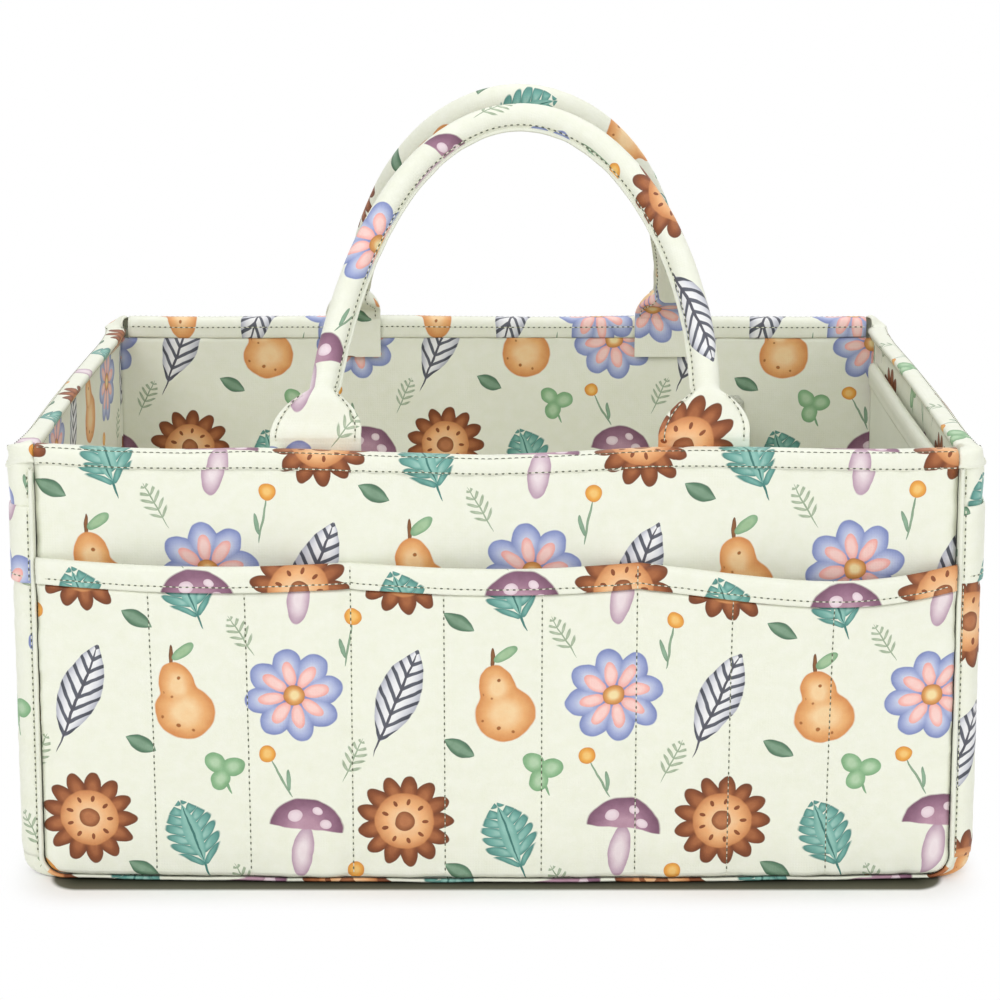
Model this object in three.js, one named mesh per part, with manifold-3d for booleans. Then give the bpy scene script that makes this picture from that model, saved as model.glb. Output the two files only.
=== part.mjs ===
// Soft storage caddy: a stiffened cloth box with patch pockets, removable dividers and two
// rolled handles. Millimetres, +Z up, the front faces -Y. The origin is at the middle of the
// underside, where the bag stands.
import * as THREE from 'three';
import { mergeVertices } from 'three/addons/utils/BufferGeometryUtils.js';
import Module from 'manifold-3d';

const wasm = await Module();
wasm.setup();

// Driving dimensions of the box
const height = 178;
const depth = 249;
const rimSeamWidth = 369;
const baseSeamWidth = 374;
const wallBow = 9;
const sideBow = 2;
const innerCornerRadius = 1;
const floorFillet = 1.7;

// Plies of the wall, from outside to inside
const plyGap = 0.3;
const shellCloth = 1.5;
const boardThickness = 3;
const liningCloth = 1.2;
const boardMargin = 7;

// Seam and rim bindings
const seamBindingWidth = 2.7;
const seamBindingProud = 1.8;
const rimBandHeight = 7;
const bandCloth = 1;

// Patch pockets on the outside
const pocketCloth = 1.2;
const hemHeight = 10;
const pocketHeight = 131;
const pocketDividers = [-58, 56];
const pocketGapes = [8, 7, 10];
const pocketSags = [2, 1.5, 4];
const sidePocketHeight = 155;
const sideHemHeight = 31;
const sidePocketGape = 7;

// Pocket on the inside of the right wall
const innerPocketHeight = 160;
const innerPocketFloor = 14;
const innerPocketGape = 7;

// Handles, measured from the hinge line of their sewn ends
const handleSpan = 153;
const handleRise = 142;
const handleLean = 36;
const handleThickness = 11;
const handleCoreThickness = 8;
const tabWidth = 37;
const tabThickness = 2.4;
const tabHeight = 24;
const neckWidth = 10;
const tubeStart = 17;
const boreOverrun = 1;
const hingeRise = 6;
const rootThickness = 1.6;
const rootDrop = 16;
const rootClearance = 0.8;

// Removable dividers and their hook-and-loop fastening
const crossDividerX = 112;
const longDividerY = 0;
const dividerHeight = 136;
const dividerCloth = 1.2;
const dividerBoard = 3;
const flapWidth = 22;
const flapThickness = 1.2;
const tapeFloor = 34;

// Sizes that follow from those above
const boardStart = shellCloth + plyGap;
const liningStart = boardStart + boardThickness + plyGap;
const wallThickness = liningStart + liningCloth;
const wallTop = height - bandCloth - plyGap;
const bottomRadius = wallThickness + floorFillet;
const panelCornerRadius = bottomRadius - plyGap - seamBindingWidth;
const panelBottom = seamBindingWidth + plyGap;
const sideSetback = 2 * plyGap;
const innerFace = wallThickness + plyGap + bandCloth;
const sideCornerRadius = innerFace + innerCornerRadius;
const hemStandoff = 2 * plyGap + bandCloth;
const dividerThickness = dividerBoard + 2 * (dividerCloth + plyGap);
const floorTop = wallThickness;

const { cos, sin, PI, sqrt, asin, atan, min, max } = Math;
const quarter = PI / 2;
const point = (x, y, z) => new THREE.Vector3(x, y, z);
const spread = (from, to, steps) => (
  Array.from({ length: steps + 1 }, (_, i) => from + (to - from) * i / steps)
);

// Colours of the cloths and boards
const printedCloth = { color: 0xf1f2e4, roughness: 0.55, metalness: 0 };
const bindingCloth = { color: 0xe6ead8, roughness: 0.55, metalness: 0 };
const liningTone = { color: 0xe4e6d6, roughness: 0.7, metalness: 0 };
const boardTone = { color: 0xcfc6ae, roughness: 0.85, metalness: 0 };
const coreTone = { color: 0xf4f2ec, roughness: 0.9, metalness: 0 };
const tapeTone = { color: 0xeceee2, roughness: 0.95, metalness: 0 };

const bag = new THREE.Group();

function piece(name, geometry, tone, parent = bag) {
  const mesh = new THREE.Mesh(geometry, new THREE.MeshStandardMaterial(tone));
  mesh.name = name;
  parent.add(mesh);
  return mesh;
}

// Closes a list of points and faces into a solid whose faces point outwards.
function closedSolid(points, faces) {
  let volume = 0;
  const normal = new THREE.Vector3();
  for (const [a, b, c] of faces) {
    volume += points[a].dot(normal.crossVectors(points[b], points[c]));
  }
  const outward = volume > 0 ? faces : faces.map(([a, b, c]) => [a, c, b]);
  const geometry = new THREE.BufferGeometry().setFromPoints(points);
  geometry.setIndex(outward.flat());
  return geometry;
}

// A ply of cloth or board: surface(u, v, layer) is sampled over columns and rows at its two
// faces, and the four edges close it.
function sheet(surface, columns, rows, nearLayer, farLayer) {
  const across = columns.length;
  const up = rows.length;
  const points = [];
  for (const layer of [nearLayer, farLayer]) {
    for (const v of rows) {
      for (const u of columns) points.push(surface(u, v, layer));
    }
  }
  const index = (face, row, column) => (face * up + row) * across + column;
  const faces = [];
  const quad = (a, b, c, d) => faces.push([a, b, c], [a, c, d]);
  for (let row = 0; row + 1 < up; row += 1) {
    for (let column = 0; column + 1 < across; column += 1) {
      const corners = [[row, column], [row, column + 1], [row + 1, column + 1], [row + 1, column]];
      quad(...corners.map(([r, c]) => index(0, r, c)));
      quad(...corners.reverse().map(([r, c]) => index(1, r, c)));
    }
    for (const column of [0, across - 1]) {
      const near = [index(0, row, column), index(0, row + 1, column)];
      const far = [index(1, row + 1, column), index(1, row, column)];
      const edge = [...near, ...far];
      quad(...(column === 0 ? edge : edge.reverse()));
    }
  }
  for (let column = 0; column + 1 < across; column += 1) {
    for (const row of [0, up - 1]) {
      const left = [index(0, row, column), index(1, row, column)];
      const right = [index(1, row, column + 1), index(0, row, column + 1)];
      const edge = [...left, ...right];
      quad(...(row === 0 ? edge : edge.reverse()));
    }
  }
  return closedSolid(points, faces);
}

// A band of one cross-section: place(a, b, station) puts each section point at each station.
function band(section, place, stations) {
  const count = section.length;
  const points = stations.flatMap((station) => section.map(([a, b]) => place(a, b, station)));
  const faces = [];
  for (let i = 0; i + 1 < stations.length; i += 1) {
    for (let j = 0; j < count; j += 1) {
      const next = (j + 1) % count;
      const [a, b, c, d] = [i * count + j, i * count + next, (i + 1) * count + next, (i + 1) * count + j];
      faces.push([a, b, c], [a, c, d]);
    }
  }
  const outline = section.map(([a, b]) => new THREE.Vector2(a, b));
  const caps = THREE.ShapeUtils.triangulateShape(outline, []);
  const last = (stations.length - 1) * count;
  const clockwise = THREE.ShapeUtils.isClockWise(outline);
  for (const [a, b, c] of caps) {
    const [p, q, r] = clockwise ? [a, c, b] : [a, b, c];
    faces.push([p, r, q], [last + p, last + q, last + r]);
  }
  return closedSolid(points, faces);
}

// A folded tape that hangs over an edge: a hollow upside-down U in section.
function foldedSection(outerFace, innerSide, bottom, top, cloth) {
  const round = cloth / 2;
  return [
    [outerFace, bottom], [outerFace + cloth, bottom], [outerFace + cloth, top - cloth],
    [innerSide - cloth, top - cloth], [innerSide - cloth, bottom], [innerSide, bottom],
    [innerSide, top - round], [innerSide - round, top], [outerFace + round, top], [outerFace, top - round],
  ];
}

// Half of the distance between the two side seams at height z, and the bow of the front and
// back walls between them.
const halfSeam = (z) => (baseSeamWidth + (rimSeamWidth - baseSeamWidth) * z / height) / 2;
const bowAt = (x, z) => wallBow * (1 - (x / halfSeam(z)) ** 2);

// Front (side = -1) or back (side = 1) wall: layer is counted inwards from the shell's face.
const facePoint = (side, x, layer, z) => point(x, side * (depth / 2 + bowAt(x, z) - layer), z);

// Rows of a wall that ends in a rounded lower edge: each row is the height and the turn of
// the surface there, 0 on the upright part and a quarter turn where it lies on the ground.
const uprightRows = (top, steps) => spread(bottomRadius, top, steps).map((z) => ({ z, turn: 0 }));
const cornerRows = (steps) => spread(quarter, 0, steps).slice(0, -1).map((turn) => (
  { z: bottomRadius * (1 - sin(turn)), turn }
));

// Front and back shell panels have rounded lower corners.
function panelHalfWidth(z, clearance) {
  const centre = panelBottom + panelCornerRadius;
  const radius = panelCornerRadius - clearance;
  const reach = halfSeam(z) - clearance;
  if (z >= centre) return reach;
  return reach - radius + sqrt(max(0, radius ** 2 - (centre - z) ** 2));
}

const panelRows = (top, steps) => [
  ...spread(quarter, 0, 4).slice(0, -1).map((turn) => panelBottom + panelCornerRadius * (1 - sin(turn))),
  ...spread(panelBottom + panelCornerRadius, top, steps),
];

// Plan line of a side wall: a corner arc, a shallow bow and a corner arc, from the front seam
// (t = 0) to the back seam (t = 1). Layers are offsets that keep the arcs' centres.
const cornerShare = 0.2;
const cornerCentreY = depth / 2 - sideSetback - sideCornerRadius;
const bowAngle = 2 * atan(sideBow / cornerCentreY);
const bowRadius = cornerCentreY / sin(bowAngle) + sideCornerRadius;
const cornerSweep = quarter - bowAngle;

function sidePlan(t, layer) {
  const mirrored = t > 0.5;
  const s = mirrored ? 1 - t : t;
  let along;
  let out;
  if (s < cornerShare) {
    const angle = cornerSweep * s / cornerShare;
    along = -cornerCentreY - (sideCornerRadius - layer) * cos(angle);
    out = (sideCornerRadius - layer) * sin(angle);
  } else {
    const angle = bowAngle * (0.5 - s) / (0.5 - cornerShare);
    along = -(bowRadius - layer) * sin(angle);
    out = (bowRadius - layer) * cos(angle) - (bowRadius - sideCornerRadius) * cos(bowAngle);
  }
  return { y: mirrored ? -along : along, out };
}

// Left (side = -1) or right (side = 1) wall, which turns under at the bottom.
function sidePoint(side, t, layer, z, turn = 0) {
  const { y, out } = sidePlan(t, layer * cos(turn));
  const inset = bottomRadius * (1 - cos(turn));
  const x = halfSeam(z) + plyGap - inset + out;
  return point(side * x, y, z + layer * sin(turn));
}

const wallColumns = spread(cornerShare, 1 - cornerShare, 8);
const wallInside = wallColumns.slice(1, -1);
const sideColumns = [...spread(0, cornerShare, 4), ...wallInside, ...spread(1 - cornerShare, 1, 4)];
const sideCornerAt = (reach) => cornerShare * asin(min(1, reach / sideCornerRadius)) / cornerSweep;

// The front and back walls share their construction, and so do the left and right walls.
const ends = [['front', -1], ['back', 1]];
const sides = [['left', -1], ['right', 1]];

// Outer shell
const panelColumns = spread(-1, 1, 14);
for (const [name, side] of ends) {
  const surface = (u, z, layer) => facePoint(side, u * panelHalfWidth(z, 0), layer, z);
  piece(`${name}_panel`, sheet(surface, panelColumns, panelRows(wallTop, 4), 0, shellCloth), printedCloth);
}
for (const [name, side] of sides) {
  const surface = (t, row, layer) => sidePoint(side, t, layer, row.z, row.turn);
  const rows = [...cornerRows(4), ...uprightRows(wallTop, 3)];
  piece(`${name}_side_panel`, sheet(surface, sideColumns, rows, 0, shellCloth), printedCloth);
}

// Plan outline of a flat base ply, held back from the front and back by setback. Its sides
// follow the lower ends of the side panels.
function basePlan(setback) {
  const edge = halfSeam(0) - bottomRadius;
  const front = spread(-edge, edge, 14).map((x) => [x, -(depth / 2 + bowAt(x, 0) - setback)]);
  const startY = depth / 2 - max(setback, sideSetback + plyGap);
  const startAngle = Math.acos(min(1, (startY - cornerCentreY) / (sideCornerRadius - plyGap)));
  const startT = cornerShare * startAngle / cornerSweep;
  const columns = [startT, ...sideColumns.filter((t) => t > startT && t < 1 - startT), 1 - startT];
  const right = columns.map((t) => {
    const { y, out } = sidePlan(t, plyGap);
    return [edge + plyGap + out, y];
  });
  const half = [...front, [edge, -startY], ...right, [edge, startY]];
  const back = front.map(([x, y]) => [-x, -y]);
  const left = [[edge, -startY], ...right, [edge, startY]].map(([x, y]) => [-x, -y]);
  return new THREE.Shape([...half, ...back, ...left].map(([x, y]) => new THREE.Vector2(x, y)));
}

function basePly(setback, bottom, thickness) {
  const geometry = new THREE.ExtrudeGeometry(basePlan(setback), { depth: thickness, bevelEnabled: false });
  geometry.translate(0, 0, bottom);
  return geometry;
}

piece('base_panel', basePly(sideSetback, 0, shellCloth), printedCloth);
piece('base_board', basePly(boardStart, boardStart, boardThickness), boardTone);
piece('base_lining', basePly(liningStart, liningStart, liningCloth), liningTone);

// Binding round the two sides and the bottom of the front and back panels
for (const [name, side] of ends) {
  const top = height - rimBandHeight - plyGap;
  const nearEdge = plyGap;
  const farEdge = plyGap + seamBindingWidth;
  const chamfer = seamBindingWidth / 4;
  const outerLayer = -seamBindingProud;
  const section = [
    [nearEdge, plyGap], [farEdge, plyGap], [farEdge, outerLayer + chamfer],
    [farEdge - chamfer, outerLayer], [nearEdge + chamfer, outerLayer], [nearEdge, outerLayer + chamfer],
  ];
  const centreZ = bottomRadius;
  const centreX = halfSeam(centreZ) - panelCornerRadius;
  const rightSide = [
    ...spread(quarter, 0, 5).slice(0, -1).map((angle) => ({
      x: centreX + panelCornerRadius * cos(angle),
      z: centreZ - panelCornerRadius * sin(angle),
      nx: cos(angle),
      nz: -sin(angle),
    })),
    { x: halfSeam(centreZ), z: centreZ, nx: 1, nz: 0 },
    { x: halfSeam(top), z: top, nx: 1, nz: 0 },
  ];
  const leftSide = rightSide.map((s) => ({ ...s, x: -s.x, nx: -s.nx })).reverse();
  const foot = spread(-1, 1, 12).slice(1, -1).map((u) => ({ x: u * centreX, z: panelBottom, nx: 0, nz: -1 }));
  const stations = [...leftSide, ...foot, ...rightSide];
  const place = (outward, layer, s) => {
    const x = s.x + s.nx * outward;
    const bow = wallBow * max(0, 1 - (s.x / halfSeam(s.z)) ** 2);
    return point(x, side * (depth / 2 + bow - layer), s.z + s.nz * outward);
  };
  piece(`${name}_seam_binding`, band(section, place, stations), bindingCloth);
}

// Stiffener boards and lining of the walls
for (const [name, side] of ends) {
  const boardSurface = (u, z, layer) => facePoint(side, u * (halfSeam(z) - boardMargin), layer, z);
  const boardRows = spread(liningStart, wallTop - boardMargin, 1);
  const board = sheet(boardSurface, panelColumns, boardRows, boardStart, boardStart + boardThickness);
  piece(`${name}_board`, board, boardTone);
  const liningFoot = floorTop + plyGap;
  const footInset = (z) => bottomRadius * max(0, bottomRadius - z) / (bottomRadius - liningFoot);
  const liningSurface = (u, z, layer) => facePoint(side, u * (halfSeam(z) - footInset(z)), layer, z);
  const liningRows = [liningFoot, bottomRadius, wallTop];
  const lining = sheet(liningSurface, panelColumns, liningRows, liningStart, wallThickness);
  piece(`${name}_lining`, lining, liningTone);
}

// The corners of the side lining stay inside the front and back panels where they turn under.
const liningReach = depth / 2 - boardStart;
for (const [name, side] of sides) {
  const surface = (t, row, layer) => sidePoint(side, t, layer, row.z, row.turn);
  const boardRows = uprightRows(wallTop - boardMargin, 1);
  const board = sheet(surface, wallColumns, boardRows, boardStart, boardStart + boardThickness);
  piece(`${name}_side_board`, board, boardTone);
  const liningSurface = (t, row, layer) => {
    const at = surface(t, row, layer);
    return at.setY(max(-liningReach, min(liningReach, at.y)));
  };
  const liningRows = [...cornerRows(3), ...uprightRows(wallTop, 2)];
  const lining = sheet(liningSurface, sideColumns, liningRows, liningStart, wallThickness);
  piece(`${name}_side_lining`, lining, liningTone);
}

// Rim bands, folded over the top edges of all the plies
const rimSection = foldedSection(-plyGap - bandCloth, innerFace, height - rimBandHeight, height, bandCloth);
for (const [name, side] of ends) {
  const place = (layer, z, u) => facePoint(side, u * halfSeam(z), layer, z);
  piece(`rim_band_${name}`, band(rimSection, place, panelColumns), bindingCloth);
}
for (const [name, side] of sides) {
  const place = (layer, z, t) => sidePoint(side, t, layer, z);
  piece(`rim_band_${name}`, band(rimSection, place, sideColumns), bindingCloth);
}

// Front and back patch pockets: one cloth, sewn down along two lines into three pockets
// whose mouths gape and sag a little.
const pocketEdges = [-1, ...pocketDividers, 1];
function pocketAt(x, z) {
  const reach = halfSeam(z);
  const edges = pocketEdges.map((edge, i) => (i === 0 ? -reach : i === 3 ? reach : edge));
  const i = x < edges[1] ? 0 : x < edges[2] ? 1 : 2;
  return { i, swell: max(0, sin(PI * (x - edges[i]) / (edges[i + 1] - edges[i]))) };
}
const gapeShare = (z) => min(1, max(0, (z - panelBottom) / (pocketHeight - hemHeight - panelBottom)));

function pocketPoint(side, u, layer, share) {
  const rowZ = panelBottom + share * (pocketHeight - panelBottom);
  const x = u * panelHalfWidth(rowZ, 0);
  const { i, swell } = pocketAt(side * -x, rowZ);
  const z = rowZ - pocketSags[i] * swell * share ** 2;
  const standoff = plyGap + hemStandoff * gapeShare(rowZ) + pocketGapes[i] * swell * gapeShare(rowZ) ** 2;
  return facePoint(side, x, -standoff + layer, z);
}

const pocketColumns = (side) => {
  const reach = halfSeam(pocketHeight);
  const seams = [-1, pocketDividers[0] / reach, pocketDividers[1] / reach, 1];
  const columns = seams.slice(1).flatMap((to, i) => spread(seams[i], to, 6).slice(i === 0 ? 0 : 1));
  return side < 0 ? columns : columns.map((u) => -u).reverse();
};

// Rows of the pocket as shares of its height, close together round its lower corners
const pocketRise = pocketHeight - panelBottom;
const footTurns = spread(0, quarter, 6).slice(1, -1);
const footShares = footTurns.map((turn) => panelCornerRadius * (1 - cos(turn)) / pocketRise);
const pocketShares = [...footShares, ...spread(0, 1, 4).slice(1, -1), 1 - hemHeight / pocketHeight, 1];

// Hem of an outer pocket, folded over the edge of its cloth
const hemInner = hemStandoff - plyGap;
const hemSection = foldedSection(-pocketCloth - hemInner, hemInner, -hemHeight, hemInner, bandCloth);

for (const [name, side] of ends) {
  const columns = pocketColumns(side);
  const surface = (u, share, layer) => pocketPoint(side, u, layer, share);
  piece(`${name}_pocket`, sheet(surface, columns, pocketShares, -pocketCloth, 0), printedCloth);
  const place = (layer, z, u) => {
    const at = pocketPoint(side, u, layer, 1);
    return at.setZ(at.z + z);
  };
  piece(`${name}_pocket_hem`, band(hemSection, place, columns), bindingCloth);
}

// Left and right patch pockets, sewn in between the seam bindings, with a deep turned-down hem
const sidePocketStart = sideCornerAt(seamBindingWidth + plyGap);
const sidePocketCorner = spread(sidePocketStart, cornerShare, 3);
const sidePocketFarCorner = sidePocketCorner.map((t) => 1 - t).reverse();
const sidePocketColumns = [...sidePocketCorner, ...wallInside, ...sidePocketFarCorner];
const sidePocketFoot = bottomRadius + plyGap;
const sideHemFoot = sidePocketHeight - sideHemHeight;
const sideHemSection = foldedSection(-pocketCloth - hemInner, hemInner, -sideHemHeight, hemInner, bandCloth);

function sidePocketPoint(side, t, layer, z) {
  const share = min(1, max(0, (z - sidePocketFoot) / (sideHemFoot - sidePocketFoot)));
  const swell = max(0, sin(PI * (t - cornerShare) / (1 - 2 * cornerShare)));
  const standoff = plyGap + hemStandoff * share + sidePocketGape * swell * share ** 2;
  return sidePoint(side, t, -standoff + layer, z);
}

for (const [name, side] of sides) {
  const surface = (t, z, layer) => sidePocketPoint(side, t, layer, z);
  const rows = [...spread(sidePocketFoot, sideHemFoot, 3), sidePocketHeight];
  piece(`${name}_side_pocket`, sheet(surface, sidePocketColumns, rows, -pocketCloth, 0), printedCloth);
  const place = (layer, z, t) => sidePocketPoint(side, t, layer, sidePocketHeight + z);
  piece(`${name}_side_pocket_hem`, band(sideHemSection, place, sidePocketColumns), bindingCloth);
}

// Pocket on the inside of the right wall
const innerPocketColumns = spread(cornerShare, 1 - cornerShare, 10);
function innerPocketPoint(t, layer, z) {
  const share = min(1, max(0, (z - innerPocketFloor) / (innerPocketHeight - hemHeight - innerPocketFloor)));
  const swell = max(0, sin(PI * (t - cornerShare) / (1 - 2 * cornerShare)));
  const standoff = plyGap + hemStandoff * share + innerPocketGape * swell * share ** 2;
  return sidePoint(1, t, wallThickness + standoff + layer, z);
}
const innerPocketRows = [...spread(innerPocketFloor, innerPocketHeight - hemHeight, 3), innerPocketHeight];
const innerHemSection = foldedSection(-hemInner, pocketCloth + hemInner, -hemHeight, hemInner, bandCloth);
const innerSurface = (t, z, layer) => innerPocketPoint(t, layer, z);
piece('inner_pocket', sheet(innerSurface, innerPocketColumns, innerPocketRows, 0, pocketCloth), liningTone);
piece('inner_pocket_hem', band(innerHemSection, (layer, z, t) => {
  const at = innerPocketPoint(t, layer, innerPocketHeight);
  return at.setZ(at.z + z);
}, innerPocketColumns), liningTone);

// Handles: a rolled strip of cloth round a soft core, with spade-shaped ends
const arcSteps = 30;
class HandleArc extends THREE.Curve {
  constructor(startRise) {
    super();
    this.startAngle = asin(startRise / handleRise);
  }

  getPoint(t) {
    const angle = this.startAngle + (PI - 2 * this.startAngle) * t;
    return point(-handleSpan / 2 * cos(angle), 0, handleRise * sin(angle));
  }
}

function roundAlong(arc, radius, segments) {
  const shape = new THREE.Shape();
  shape.absarc(0, 0, radius, 0, 2 * PI, false);
  return new THREE.ExtrudeGeometry(shape, { steps: arcSteps, curveSegments: segments, extrudePath: arc });
}

function toManifold(geometry) {
  const bare = geometry.clone();
  bare.deleteAttribute('normal');
  bare.deleteAttribute('uv');
  const merged = mergeVertices(bare, 1e-4);
  const vertProperties = new Float32Array(merged.attributes.position.array);
  const triVerts = new Uint32Array(merged.index.array);
  return new wasm.Manifold(new wasm.Mesh({ numProp: 3, vertProperties, triVerts }));
}

function fromManifold(solid) {
  const { vertProperties, triVerts, numProp } = solid.getMesh();
  const geometry = new THREE.BufferGeometry();
  const positions = [];
  for (let i = 0; i < vertProperties.length; i += numProp) positions.push(...vertProperties.slice(i, i + 3));
  geometry.setAttribute('position', new THREE.Float32BufferAttribute(positions, 3));
  geometry.setIndex([...triVerts]);
  return geometry;
}

// Spade outline of a handle end, from the hinge line up into the neck of the tube. Its side
// leaves the full width at the shoulder, bulges, draws in at the waist and runs into the neck.
const spade = {
  shoulder: { width: 1, rise: 0.12 },
  bulge: { width: 1, rise: 0.45 },
  taper: { width: 0.62, rise: 0.55 },
  waist: { width: 0.42, rise: 0.72 },
  throat: { width: neckWidth / tabWidth, rise: 0.84 },
  neck: { width: neckWidth / tabWidth, rise: 1 },
};

function tabShape() {
  const shape = new THREE.Shape();
  const at = (side, { width, rise }) => [side * width * tabWidth / 2, rise * tabHeight];
  shape.moveTo(-tabWidth / 2, 0);
  shape.lineTo(tabWidth / 2, 0);
  shape.lineTo(...at(1, spade.shoulder));
  shape.bezierCurveTo(...at(1, spade.bulge), ...at(1, spade.taper), ...at(1, spade.waist));
  shape.quadraticCurveTo(...at(1, spade.throat), ...at(1, spade.neck));
  shape.lineTo(...at(-1, spade.neck));
  shape.quadraticCurveTo(...at(-1, spade.throat), ...at(-1, spade.waist));
  shape.bezierCurveTo(...at(-1, spade.taper), ...at(-1, spade.bulge), ...at(-1, spade.shoulder));
  return shape;
}

function handleCover() {
  let cover = toManifold(roundAlong(new HandleArc(tubeStart), handleThickness / 2, 5));
  for (const side of [-1, 1]) {
    const cut = { depth: tabThickness, bevelEnabled: false, curveSegments: 4 };
    const tab = new THREE.ExtrudeGeometry(tabShape(), cut);
    tab.rotateX(quarter);
    tab.translate(side * handleSpan / 2, tabThickness / 2, 0);
    const fold = new THREE.CylinderGeometry(tabThickness / 2, tabThickness / 2, tabWidth, 12);
    fold.rotateZ(quarter);
    fold.translate(side * handleSpan / 2, 0, 0);
    cover = cover.add(toManifold(tab)).add(toManifold(fold));
  }
  const boreArc = new HandleArc(tubeStart - boreOverrun);
  const bore = toManifold(roundAlong(boreArc, handleCoreThickness / 2 + plyGap, 4));
  return fromManifold(cover.subtract(bore));
}

// The handle ends hinge just above the rim, on the line where the cloth bends.
const rootLayer = innerFace + plyGap + rootThickness / 2;
const hingeY = depth / 2 + bowAt(handleSpan / 2, height) - rootLayer;
const hingeZ = height + hingeRise;
for (const [name, side] of ends) {
  const handle = new THREE.Group();
  handle.position.set(0, side * hingeY, hingeZ);
  handle.rotation.x = side * handleLean * PI / 180;
  bag.add(handle);
  piece(`${name}_handle_cover`, handleCover(), printedCloth, handle);
  const core = roundAlong(new HandleArc(tubeStart), handleCoreThickness / 2, 4);
  piece(`${name}_handle_core`, core, coreTone, handle);
  for (const [sideName, across] of sides) {
    const top = hingeZ - tabThickness / 2 - rootClearance;
    const surface = (u, z, layer) => {
      const at = facePoint(side, across * handleSpan / 2 + u * tabWidth / 2, rootLayer + layer, height);
      return at.setZ(z);
    };
    const rows = [height - rootDrop, top];
    const root = sheet(surface, spread(-1, 1, 3), rows, -rootThickness / 2, rootThickness / 2);
    piece(`${name}_handle_root_${sideName}`, root, printedCloth);
  }
}

// Divider sleeves are open below, and their boards stand in them. The flaps at their ends
// clear the rim bands when a divider is lifted out, and the loop tapes on the lining reach
// out to them.
const crossFlapFace = depth / 2 + bowAt(crossDividerX + flapWidth / 2, height) - innerFace - plyGap;
const crossHalf = crossFlapFace - flapThickness - plyGap;
const dividerFloor = floorTop + plyGap;
const dividerTop = floorTop + dividerHeight;
const sleeveHalf = dividerThickness / 2;
const sleeveSection = foldedSection(-sleeveHalf, sleeveHalf, dividerFloor, dividerTop, dividerCloth);
const dividerBoardTop = dividerTop - dividerCloth - plyGap;

function slab(length, width, bottom, top) {
  return new THREE.BoxGeometry(length, width, top - bottom).translate(0, 0, (top + bottom) / 2);
}

const acrossBag = (a, z, y) => point(crossDividerX + a, y, z);
const crossSleeve = band(sleeveSection, acrossBag, [-crossHalf, 0, crossHalf]);
const crossBoard = slab(dividerBoard, 2 * (crossHalf - plyGap), dividerFloor, dividerBoardTop);
piece('cross_divider_cover', crossSleeve, liningTone);
piece('cross_divider_board', crossBoard.translate(crossDividerX, 0, 0), boardTone);
for (const [name, side] of ends) {
  const flap = slab(flapWidth, flapThickness, tapeFloor, dividerTop);
  flap.translate(crossDividerX, side * (crossFlapFace - flapThickness / 2), 0);
  piece(`cross_divider_flap_${name}`, flap, tapeTone);
  const surface = (u, z, toFlap) => {
    const at = facePoint(side, crossDividerX + u * flapWidth / 2, wallThickness + plyGap, z);
    return toFlap ? at.setY(side * (crossFlapFace + plyGap)) : at;
  };
  piece(`loop_tape_${name}`, sheet(surface, [-1, 0, 1], [tapeFloor, dividerTop], 0, 1), tapeTone);
}

const longFlapFace = plyGap - sidePoint(1, 0.5, innerFace, height).x;
const longLeft = longFlapFace + flapThickness + plyGap;
const longRight = crossDividerX - sleeveHalf - 2 * plyGap - flapThickness;
const longMiddle = (longLeft + longRight) / 2;
const alongBag = (a, z, x) => point(x, longDividerY + a, z);
const longSleeve = band(sleeveSection, alongBag, [longLeft, longMiddle, longRight]);
const longBoard = slab(longRight - longLeft - 2 * plyGap, dividerBoard, dividerFloor, dividerBoardTop);
piece('long_divider_cover', longSleeve, liningTone);
piece('long_divider_board', longBoard.translate(longMiddle, longDividerY, 0), boardTone);
const longFlaps = [['left', longFlapFace], ['right', longRight + plyGap]];
for (const [name, start] of longFlaps) {
  const flap = slab(flapThickness, flapWidth, tapeFloor, dividerTop);
  flap.translate(start + flapThickness / 2, longDividerY, 0);
  piece(`long_divider_flap_${name}`, flap, tapeTone);
}
const leftTapeSurface = (t, z, toFlap) => {
  const at = sidePoint(-1, t, wallThickness + plyGap, z);
  return toFlap ? at.setX(longFlapFace - plyGap) : at;
};
const tapeColumns = [-1, 0, 1].map((u) => {
  const angle = asin((longDividerY + u * flapWidth / 2) / bowRadius);
  return 0.5 + (0.5 - cornerShare) * angle / bowAngle;
});
piece('loop_tape_left', sheet(leftTapeSurface, tapeColumns, [tapeFloor, dividerTop], 0, 1), tapeTone);

export default bag;
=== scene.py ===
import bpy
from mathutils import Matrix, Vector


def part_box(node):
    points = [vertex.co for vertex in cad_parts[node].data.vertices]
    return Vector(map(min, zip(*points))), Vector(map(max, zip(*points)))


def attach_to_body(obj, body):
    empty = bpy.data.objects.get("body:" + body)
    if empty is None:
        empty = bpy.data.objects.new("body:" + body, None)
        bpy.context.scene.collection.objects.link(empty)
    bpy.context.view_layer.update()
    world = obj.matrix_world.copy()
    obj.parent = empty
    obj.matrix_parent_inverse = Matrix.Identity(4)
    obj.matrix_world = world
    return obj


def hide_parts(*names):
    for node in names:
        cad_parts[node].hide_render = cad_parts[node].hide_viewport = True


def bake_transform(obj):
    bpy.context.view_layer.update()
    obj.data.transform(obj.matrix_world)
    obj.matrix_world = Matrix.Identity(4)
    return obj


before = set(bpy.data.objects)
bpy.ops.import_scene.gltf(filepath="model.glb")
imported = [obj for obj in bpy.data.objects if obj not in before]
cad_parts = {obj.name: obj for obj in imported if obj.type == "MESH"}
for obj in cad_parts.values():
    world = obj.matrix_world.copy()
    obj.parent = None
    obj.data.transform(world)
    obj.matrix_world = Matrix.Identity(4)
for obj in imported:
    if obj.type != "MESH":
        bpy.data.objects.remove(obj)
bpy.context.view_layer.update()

import math
from functools import partial

import bpy
import numpy as np

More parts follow.
